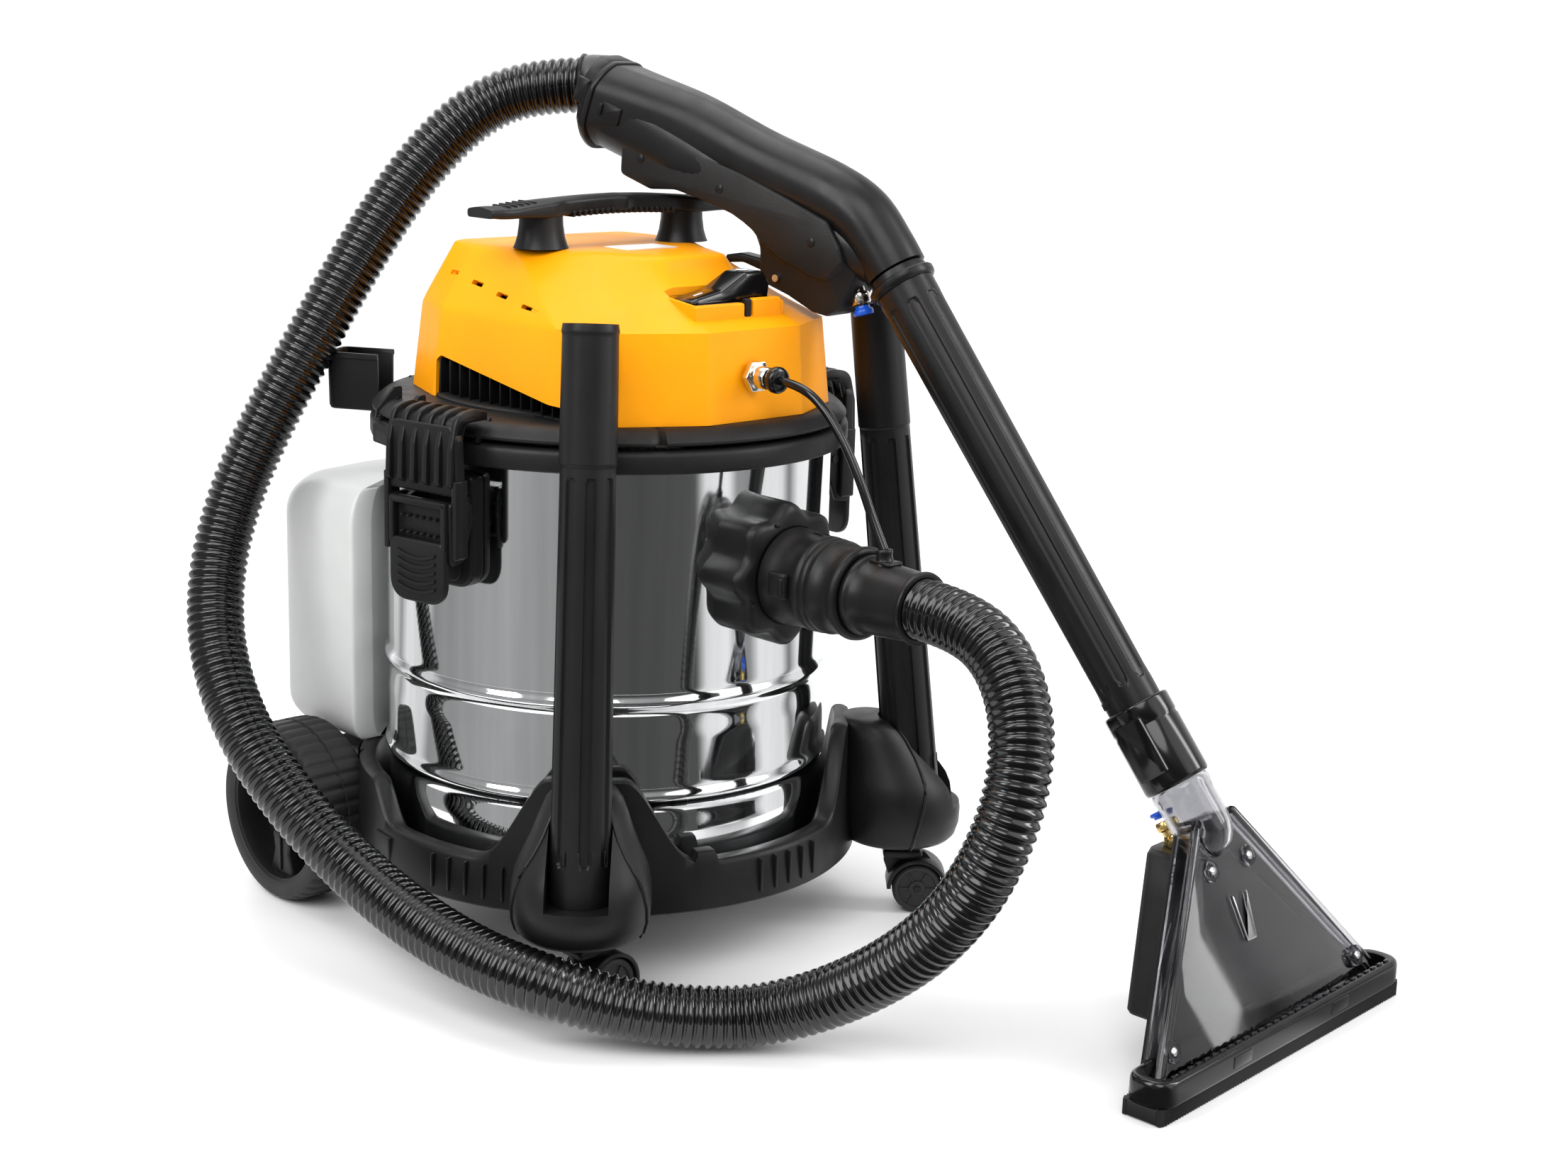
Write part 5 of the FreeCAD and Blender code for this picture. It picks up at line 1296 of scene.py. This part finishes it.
def make_grip():
    """The grained lower shell of the grip, the trigger in its hook and the water fitting."""
    full = rounded(GRIP_SIDE, 6.0, 5)[::-1]
    wide = rounded(GRIP_WIDE, 6.0, 5)[::-1]
    half = ((0.0, 0.0, 0.0), (12.0, 0.0, 0.0), (15.5, 0.0, 0.9), (17.0, 0.25, 1.6), (19.0, 0.62, 1.2), (21.0, 0.9, 0.6),
            (22.6, 1.0, 0.5), (23.8, 1.0, 1.0), (24.6, 1.0, 2.4))
    levels = [(-t, share, inset) for t, share, inset in half[:0:-1]] + list(half)
    grip = Shape().loft([[(x, y, t) for x, y in shrink(between(full, wide, share), inset)]
                         for t, share, inset in levels], place=WAND_PLANE)
    shell = piece("grip_lower_shell", grip, "machine", "grained_black", ("grip_shell",), sharp=46)
    hole = Shape().prism([(78.0, 458.0), (112.0, 458.0), (112.0, 484.0), (78.0, 497.0)], -7.6, 7.6, WAND_PLANE)
    carve(shell, hole)

    seam = Shape()
    for k in (-1, 1):
        for spot in ((-14.0, 542.0), (56.0, 525.0), (134.0, 494.0)):
            rim = [(3.2, -0.9), (3.2, 0.5), (2.7, 0.8)]
            seam.disc_lathe(rim, 24, WAND_PLANE @ place_at((spot[0], spot[1], k * 24.5), (0, 0, k)))
    piece("grip_trim", seam, "machine", "dark_plastic")

    hook = rounded([(48.0, 472.6, 1.5), (64.0, 474.2, 12.0), (84.0, 468.5, 12.0), (97.0, 461.6, 4.0),
                    (107.0, 463.4, 3.0), (106.4, 473.0, 3.0), (80.0, 478.0, 14.0), (62.0, 480.6, 10.0),
                    (49.6, 478.4, 1.5)], 4.0, 6)
    lever = Shape().pillow(hook, -6.4, 6.4, 1.8, WAND_PLANE, 4)
    piece("trigger_hook", lever, "trigger_lever", "dark_plastic", ("trigger",), sharp=50)

    outlet = place_at(wand_point(153.5, 476.0), wand_heading(math.radians(72.0)), ACROSS)
    body = Shape().lathe([(3.1, 6.0), (4.2, 6.0), (4.6, 15.6), (6.6, 16.6), (7.0, 17.6), (7.0, 23.2), (6.4, 24.2),
                          (3.1, 24.2)], 48, outlet)
    piece("handle_water_fitting", body, "machine", "nickel", ("push_in_fittings",), sharp=40)
    collet = [(3.1, 25.6), (5.0, 25.6), (5.2, 27.2), (6.9, 28.6), (7.1, 30.4), (6.7, 31.8), (3.1, 32.0)]
    piece("handle_release_ring", Shape().lathe(collet, 48, outlet), "release_ring_handle", "blue_plastic",
          ("handle_collet",), sharp=50)


def make_wand():
    heading = wand_heading(SLOPE)
    top = wand_point(188.2, 476.1) + heading * 0.2
    place = place_at(top, heading, ACROSS)
    pipe = Shape().loft(fluted(357.8, 20.6, 18.5, 24.0, 316.0, 8, 1.2, 2.2, (), 0.25), closed=True, place=place)
    pipe.lathe([(19.0, 4.6), (22.4, 4.8), (23.5, 6.0), (23.6, 8.4), (23.2, 10.4), (21.8, 11.8), (19.0, 12.0)], 96,
               place)
    for k in range(5):
        swing = math.radians(205.0 + 9.0 * k)
        dash = place @ place_at((18.9 * math.cos(swing), 18.9 * math.sin(swing), 322.0), (0, 0, 1),
                                (math.cos(swing), math.sin(swing), 0))
        pipe.block((0, 0, 0), (1.0, 0.9, 5.0), 0.3, dash)
    piece("wand_pipe", pipe, "machine", "dark_plastic", ("wand_tube",), sharp=40)

    collar_place = place_at(top - heading * 0.2 + heading * 330.0, heading, ACROSS)
    sleeve = [(19.0, 0.0), (21.4, 0.0), (22.5, 0.9), (22.7, 2.2), (22.7, 13.0), (22.1, 14.2), (22.1, 15.6), (22.6, 16.8),
              (22.6, 55.0), (22.0, 57.2), (20.8, 58.0), (16.6, 58.0), (16.6, 31.0), (19.0, 29.0)]
    collar = Shape().lathe(sleeve, 96, collar_place)
    flat = place_at(top + heading * 358.0 - ACROSS * 20.6, -ACROSS, heading)
    collar.block((0, 0, 0), (40.0, 22.0, 5.6), 1.6, flat)
    piece("nozzle_sleeve", collar, "machine", "gloss_black", ("nozzle_collar",), sharp=44)
    return top - heading * 0.2 + heading * 388.0, heading


# ----------------------------------------------------------------------- nozzle
NOZZLE = lift(151.0, -488.0, 0) @ Matrix.Rotation(math.radians(3.3), 4, "Z")
# local X along the shoe, Y up the tilted plate, Z out of its front
PLATE = NOZZLE @ lift(0, 1.0, 12.0) @ Matrix.Rotation(math.radians(66.5), 4, "X")


def rod(shape, start, end, radius, place, count=20):
    """A round bar with domed ends between two local points."""
    a, b = Vector(start), Vector(end)
    hint = (0, 0, 1) if abs((b - a).normalized().z) < 0.9 else (1, 0, 0)
    along = place_at(a, b - a, hint)
    length = (b - a).length
    shape.disc_lathe([(radius * 0.55, -radius * 0.75), (radius * 0.9, -radius * 0.35), (radius, 0.0), (radius, length),
                      (radius * 0.9, length + radius * 0.35), (radius * 0.55, length + radius * 0.75)], count,
                     place @ along)


def fan(low_half, top_half, low, high, radius=4.0):
    return rounded([(-low_half, low), (low_half, low), (top_half, high), (-top_half, high)], radius, 4)


def make_nozzle(neck_start, heading):
    neck_place = place_at(neck_start, heading, ACROSS)
    outline = fan(137.0, 21.0, 0.0, 146.0, 3.0)
    levels = ((-8.0, 0.0), (3.6, 0.0), (5.2, 0.6), (6.1, 2.2))
    tray = Shape()
    rings = [[(x, y, z) for x, y in shrink(outline, inset)] for z, inset in levels]
    tray.loft(rings, (False, True), place=PLATE)
    start = len(tray.points)
    hollow = [[(x, y, z) for x, y in shrink(outline, inset)] for z, inset in ((-8.0, 3.2), (3.4, 3.2))]
    inner = Shape().loft(hollow, (False, True), place=PLATE)
    size = len(outline)
    tray.add(inner.points, [face[::-1] for face in inner.faces])
    tray.faces += [(j, start + j, start + (j + 1) % size, (j + 1) % size) for j in range(size)]
    for k in (-1, 1):
        rod(tray, (k * 134.2, 3.0, 5.0), (k * 20.6, 143.0, 5.0), 3.4, PLATE)
        rod(tray, (k * 126.8, 3.0, 4.6), (k * 16.6, 138.6, 4.6), 1.0, PLATE, 12)
    for x, y in ((-112.0, 20.0), (112.0, 20.0), (-22.0, 112.0), (22.0, 112.0)):
        tray.lathe([(3.6, 5.6), (7.4, 5.6), (7.2, 7.4), (6.4, 8.2), (3.6, 8.2)], 40, PLATE @ lift(x, y, 0))
    rib = rounded([(-9.0, 92.0), (-5.6, 61.0), (5.6, 61.0), (9.0, 92.0), (7.2, 92.0), (4.2, 62.8), (-4.2, 62.8),
                   (-7.2, 92.0)], 0.5, 3)
    tray.pillow(rib, 5.6, 7.9, 0.7, PLATE, 2)
    for k in range(-4, 5):
        if k:
            mark = [(-2.0 + 24.0 * k, 4.0), (2.0 + 24.0 * k, 4.0), (1.2 + 24.0 * k, 11.0), (-1.2 + 24.0 * k, 11.0)]
            tray.pillow(rounded(mark, 0.6, 2), 5.6, 7.0, 0.4, PLATE, 2)
    piece("nozzle_window", tray, "machine", "clear", ("nozzle_clear_front",), sharp=34)

    neck = Shape().lathe([(16.4, 0.3), (19.4, 0.3), (20.4, 2.0), (20.6, 5.0), (19.8, 7.4), (19.5, 12.0), (19.6, 30.0),
                          (19.0, 36.0), (16.8, 43.0), (13.0, 48.4), (7.4, 52.4), (0.6, 53.8), (0.6, 51.4), (6.6, 49.8),
                          (11.0, 46.4), (14.4, 41.0), (16.0, 35.0), (16.4, 30.0)], 96, neck_place)
    piece("nozzle_neck", neck, "machine", "clear", (), sharp=60)

    heads = Shape()
    for x, y in ((-112.0, 20.0), (112.0, 20.0), (-22.0, 112.0), (22.0, 112.0)):
        spot = PLATE @ lift(x, y, 0)
        heads.disc_lathe([(3.3, 5.9), (3.3, 7.6), (2.6, 8.5), (1.2, 8.8)], 32, spot)
        for turn in (20.0, 110.0):
            heads.block((0, 0, 8.7), (4.2, 0.8, 0.5), 0.15, spot @ Matrix.Rotation(math.radians(turn), 4, "Z"))
    piece("nozzle_screw_heads", heads, "machine", "steel", ("nozzle_screws",))

    back = Shape().pillow(outline, -11.6, -8.2, 0.9, PLATE, 2)
    for k in (-1, 1):
        for share in (0.30, 0.62):
            x = k * 118.0 * share
            high = 146.0 * (1 - abs(x) / 137.0) * 1.05
            rod(back, (x, 8.0, -11.6), (x * 0.72, min(high, 118.0), -11.6), 1.8, PLATE, 12)
    low = rounded([(-98.0, 22.0), (98.0, 22.0), (98.0, 50.0), (-98.0, 50.0)], 8.0, 5)
    high = rounded([(-18.0, 50.0), (18.0, 50.0), (18.0, 94.0), (-18.0, 94.0)], 8.0, 5)
    steps = ((0.0, 1.6, 0.0), (0.02, 0.0, 0.0), (0.3, 0.0, 0.0), (0.7, 0.0, 0.0), (0.96, 0.0, 0.0), (1.0, 1.8, 0.0))
    duct = [[(x, y, 40.0 + 78.0 * share) for x, y in shrink(between(low, high, share), inset)]
            for share, inset, _ in steps]
    back.loft(duct, place=NOZZLE)
    housing = piece("nozzle_back", back, "machine", "dark_plastic", ("nozzle_back_housing",), sharp=44)
    clearance = Shape().disc_lathe([(20.9, -10.0), (20.9, 40.0), (17.0, 47.0), (9.0, 53.0), (2.0, 55.0)], 64,
                                   neck_place)
    carve(housing, clearance)

    rim = rounded([(-147.0, -16.0), (147.0, -16.0), (147.0, 16.0), (-147.0, 16.0)], 15.6, 10)
    gap = rounded([(-139.0, -8.6), (139.0, -8.6), (139.0, 9.6), (-139.0, 9.6)], 8.2, 10)
    outside = ((10.0, 1.4), (10.8, 0.4), (12.6, 0.0), (23.0, 0.0), (25.6, 0.7), (26.8, 2.0), (27.1, 3.6))
    rings = [[(x, y, z) for x, y in shrink(rim, inset)] for z, inset in outside]
    rings += [[(x, y, z) for x, y in gap] for z in (26.6, 18.0, 10.0)]
    shoe = Shape().loft(rings, closed=True, place=NOZZLE)
    for k in range(30):
        x = -130.5 + 9.0 * k
        for y in (-10.4, 11.2):
            shoe.block((x, y, 27.0), (4.6, 2.2, 2.4), 0.5, NOZZLE)
    for k in (-1, 1):
        shoe.block((k * 60.0, -14.6, 18.6), (22.0, 4.0, 9.0), 1.2, NOZZLE)
    piece("nozzle_shoe_body", shoe, "machine", "gloss_black", ("nozzle_shoe",), sharp=42)

    lips = Shape()
    for front, rear in ((-14.0, -8.8), (10.8, 15.6)):
        count = 380
        near = [(-143.0 + 286.0 * k / count, front + 0.55 * math.sin(math.tau * k / 4)) for k in range(count + 1)]
        far = [(x, rear + 0.55 * math.sin(math.tau * k / 4)) for k, (x, _) in enumerate(near)][::-1]
        ends = [(146.0, (front + rear) / 2 - 1.2), (146.0, (front + rear) / 2 + 1.2)]
        left = [(-x, y) for x, y in ends[::-1]]
        lips.prism(near + ends + far + left, 0.2, 10.2, NOZZLE)
    for k in (-1, 1):
        lips.block((k * 145.2, 0.8, 5.4), (2.6, 22.0, 9.6), 0.9, NOZZLE)
    piece("nozzle_lip_rows", lips, "machine", "rubber", ("nozzle_lips",), sharp=30)
    make_spray_fitting()


def make_spray_fitting():
    foot = lift(0, 82.0, 118.1)
    axis = NOZZLE @ place_at((0, 82.0, 120.1), (0, 0.6, 0.8), (1, 0, 0))
    fitting = Shape()
    fitting.pillow(rounded(circle(7.2, 6), 0.7, 2), 0.0, 6.2, 0.7, NOZZLE @ foot, 2)
    fitting.disc_lathe([(5.0, 5.0), (5.0, 7.6), (4.4, 8.4)], 32, NOZZLE @ foot)
    fitting.lathe([(3.1, 3.0), (4.7, 3.0), (4.7, 9.0), (6.4, 10.0), (6.6, 11.0), (6.6, 14.8), (6.0, 15.8), (3.1, 15.8)],
                  48, axis)
    piece("spray_fitting", fitting, "machine", "brass", (), sharp=40)
    collet = [(3.1, 18.4), (4.9, 18.4), (5.1, 19.8), (6.8, 20.8), (7.0, 22.0), (6.5, 22.9), (3.1, 23.0)]
    piece("nozzle_release_ring", Shape().lathe(collet, 48, axis), "release_ring_nozzle", "blue_plastic",
          ("nozzle_collet",), sharp=50)


# --------------------------------------------------------- carried-over CAD nodes
CAD_LOOKS = {
    "lid_gasket": "rubber", "motor_housing": "grey_plastic", "motor_rotor": "motor_metal", "float_cage": "grey_plastic",
    "filter_sleeve": "filter_cloth", "rating_plate": "label", "cable_gland": "black_plastic",
    "trigger_pin": "steel", "trigger_valve": "brass",
}


def dress_cad():
    """Materials for the CAD nodes that stay in view."""
    slots = {part["node"]: part["material_slot"] for part in frame["record"]["subparts"]}
    for name, node in frame["nodes"].items():
        look = LOOKS[CAD_LOOKS.get(name, slots[name])]
        node.data.materials.clear()
        node.data.materials.append(look)


# ------------------------------------------------------------- floor, light, sky
def make_floor():
    mesh = bpy.data.meshes.new("floor")
    half = 160.0
    mesh.from_pydata([(-half, -half, -0.0004), (half, -half, -0.0004), (half, half, -0.0004), (-half, half, -0.0004)],
                     [], [(0, 1, 2, 3)])
    material, tree, principled = shader("floor")
    drift = texture(tree, "ShaderNodeTexNoise", 0.6, 2.0)
    tree.links.new(shades(tree, drift, (0.885, 0.885, 0.885), (0.90, 0.90, 0.90)), principled.inputs["Base Color"])
    tree.links.new(ramp(tree, drift, 0.45, 0.55), principled.inputs["Roughness"])
    principled.inputs["Specular IOR Level"].default_value = 0.2
    mesh.materials.append(material)
    floor = bpy.data.objects.new("floor", mesh)
    bpy.context.scene.collection.objects.link(floor)


def compass(tree, stops):
    """Brightness by compass bearing (degrees from +X, -180..180) as a colour output and the split coordinates."""
    place = tree.nodes.new("ShaderNodeTexCoord")
    split = tree.nodes.new("ShaderNodeSeparateXYZ")
    tree.links.new(place.outputs["Generated"], split.inputs["Vector"])
    swing = tree.nodes.new("ShaderNodeMath")
    swing.operation = "ARCTAN2"
    turn = tree.nodes.new("ShaderNodeMapRange")
    turn.inputs["From Min"].default_value = -math.pi
    turn.inputs["From Max"].default_value = math.pi
    tree.links.new(swing.outputs["Value"], turn.inputs["Value"])
    bands = tree.nodes.new("ShaderNodeValToRGB")
    points = bands.color_ramp.elements
    for _ in stops[1:-1]:
        points.new(0.5)
    for element, (bearing, level) in zip(points, stops):
        element.position = (bearing + 180) / 360
        element.color = (level, level, level, 1.0)
    tree.links.new(turn.outputs["Result"], bands.inputs["Fac"])
    return place, split, swing, bands


# What the polished drum mirrors: grey to the left, dark ahead, bright streaks at the right.
BANDS = ((-180, 0.42), (-160, 0.34), (-146, 0.30), (-141, 0.10), (-118, 0.075), (-88, 0.10), (-83, 0.85), (-71, 1.0),
         (-66, 0.35), (-58, 0.30), (-52, 0.95), (-36, 0.9), (-30, 0.2), (-22, 0.95), (0, 1.2), (88, 1.2), (104, 0.35),
         (112, 0.9), (130, 0.75), (136, 0.30), (158, 0.36), (180, 0.42))


def make_mirror_card():
    """A ring on the floor that only reflections see; it gives the chrome its upright bands."""
    count = 96
    points, faces = [], []
    for radius in (0.46, 9.0):
        points += [(AXIS.x + radius * math.cos(math.tau * k / count), AXIS.y + radius * math.sin(math.tau * k / count),
                    0.0006) for k in range(count)]
    faces = [(k, (k + 1) % count, count + (k + 1) % count, count + k) for k in range(count)]
    mesh = bpy.data.meshes.new("mirror_card")
    mesh.from_pydata(points, [], faces)
    material = bpy.data.materials.new("mirror_card")
    material.use_nodes = True
    tree = material.node_tree
    tree.nodes.remove(tree.nodes["Principled BSDF"])
    glow = tree.nodes.new("ShaderNodeEmission")
    tree.links.new(glow.outputs["Emission"], tree.nodes["Material Output"].inputs["Surface"])
    place, split, swing, bands = compass(tree, BANDS)
    tree.links.new(place.outputs["Object"], split.inputs["Vector"])
    for axis, offset in (("Y", AXIS.y), ("X", AXIS.x)):
        shift = tree.nodes.new("ShaderNodeMath")
        shift.operation = "SUBTRACT"
        shift.inputs[1].default_value = offset
        tree.links.new(split.outputs[axis], shift.inputs[0])
        tree.links.new(shift.outputs["Value"], swing.inputs[0 if axis == "Y" else 1])
    tree.links.new(bands.outputs["Color"], glow.inputs["Color"])
    mesh.materials.append(material)
    card = bpy.data.objects.new("mirror_card", mesh)
    bpy.context.scene.collection.objects.link(card)
    card.visible_camera = card.visible_diffuse = card.visible_transmission = card.visible_shadow = False


def make_world():
    """A white studio whose horizon carries the same bands as the mirror card."""
    world = bpy.data.worlds.new("studio")
    bpy.context.scene.world = world
    world.use_nodes = True
    tree = world.node_tree
    background = tree.nodes["Background"]
    _, split, swing, bands = compass(tree, BANDS)
    tree.links.new(split.outputs["Y"], swing.inputs[0])
    tree.links.new(split.outputs["X"], swing.inputs[1])
    height = tree.nodes.new("ShaderNodeMapRange")
    height.inputs["From Min"].default_value = 0.25
    height.inputs["From Max"].default_value = 0.7
    tree.links.new(split.outputs["Z"], height.inputs["Value"])
    mix = tree.nodes.new("ShaderNodeMix")
    mix.data_type = "RGBA"
    tree.links.new(height.outputs["Result"], mix.inputs["Factor"])
    tree.links.new(bands.outputs["Color"], mix.inputs["A"])
    mix.inputs["B"].default_value = (0.62, 0.62, 0.62, 1.0)
    tree.links.new(mix.outputs["Result"], background.inputs["Color"])
    background.inputs["Strength"].default_value = 0.9


def add_light(name, place, target, size, power):
    data = bpy.data.lights.new(name, "AREA")
    data.shape = "RECTANGLE"
    data.size, data.size_y = size
    data.energy = power
    aim_light(name, data, place, target)


def add_sun(name, place, target, strength, spread):
    data = bpy.data.lights.new(name, "SUN")
    data.energy = strength
    data.angle = math.radians(spread)
    aim_light(name, data, place, target)


def aim_light(name, data, place, target):
    lamp = bpy.data.objects.new(name, data)
    bpy.context.scene.collection.objects.link(lamp)
    spot = at(*place)
    aim = (at(*target) - spot).normalized()
    lamp.matrix_world = Matrix.Translation(spot) @ aim.to_track_quat("-Z", "Y").to_matrix().to_4x4()


def make_lights():
    add_sun("key", (-1500, -1100, 2100), (0, 0, 250), 1.5, 38)
    add_sun("fill", (900, -1800, 1700), (0, 0, 250), 0.9, 60)
    add_sun("back", (600, 1700, 2100), (0, 0, 250), 0.7, 60)
    add_light("softbox_left", (-1700, 100, 1500), (0, -50, 300), (0.6, 1.5), 22)
    add_light("softbox_right", (1300, -1500, 1300), (0, -100, 250), (0.4, 1.5), 16)
    add_light("softbox_top", (100, 300, 1900), (0, 0, 300), (1.2, 0.8), 9)


# ------------------------------------------------------------------------- make
make_camera()
make_cords()
make_drum()
make_lid()
make_cover()
make_switch()
make_carry_handle()
make_inlet()
make_connector()
make_base()
make_castors()
make_rear_wheels()
make_spare_tubes()
make_latches()
make_tank()
make_holder()
make_handle()
make_nozzle(*make_wand())
dress_cad()
make_floor()
make_mirror_card()
make_world()
make_lights()
bpy.context.scene.view_settings.view_transform = "Standard"
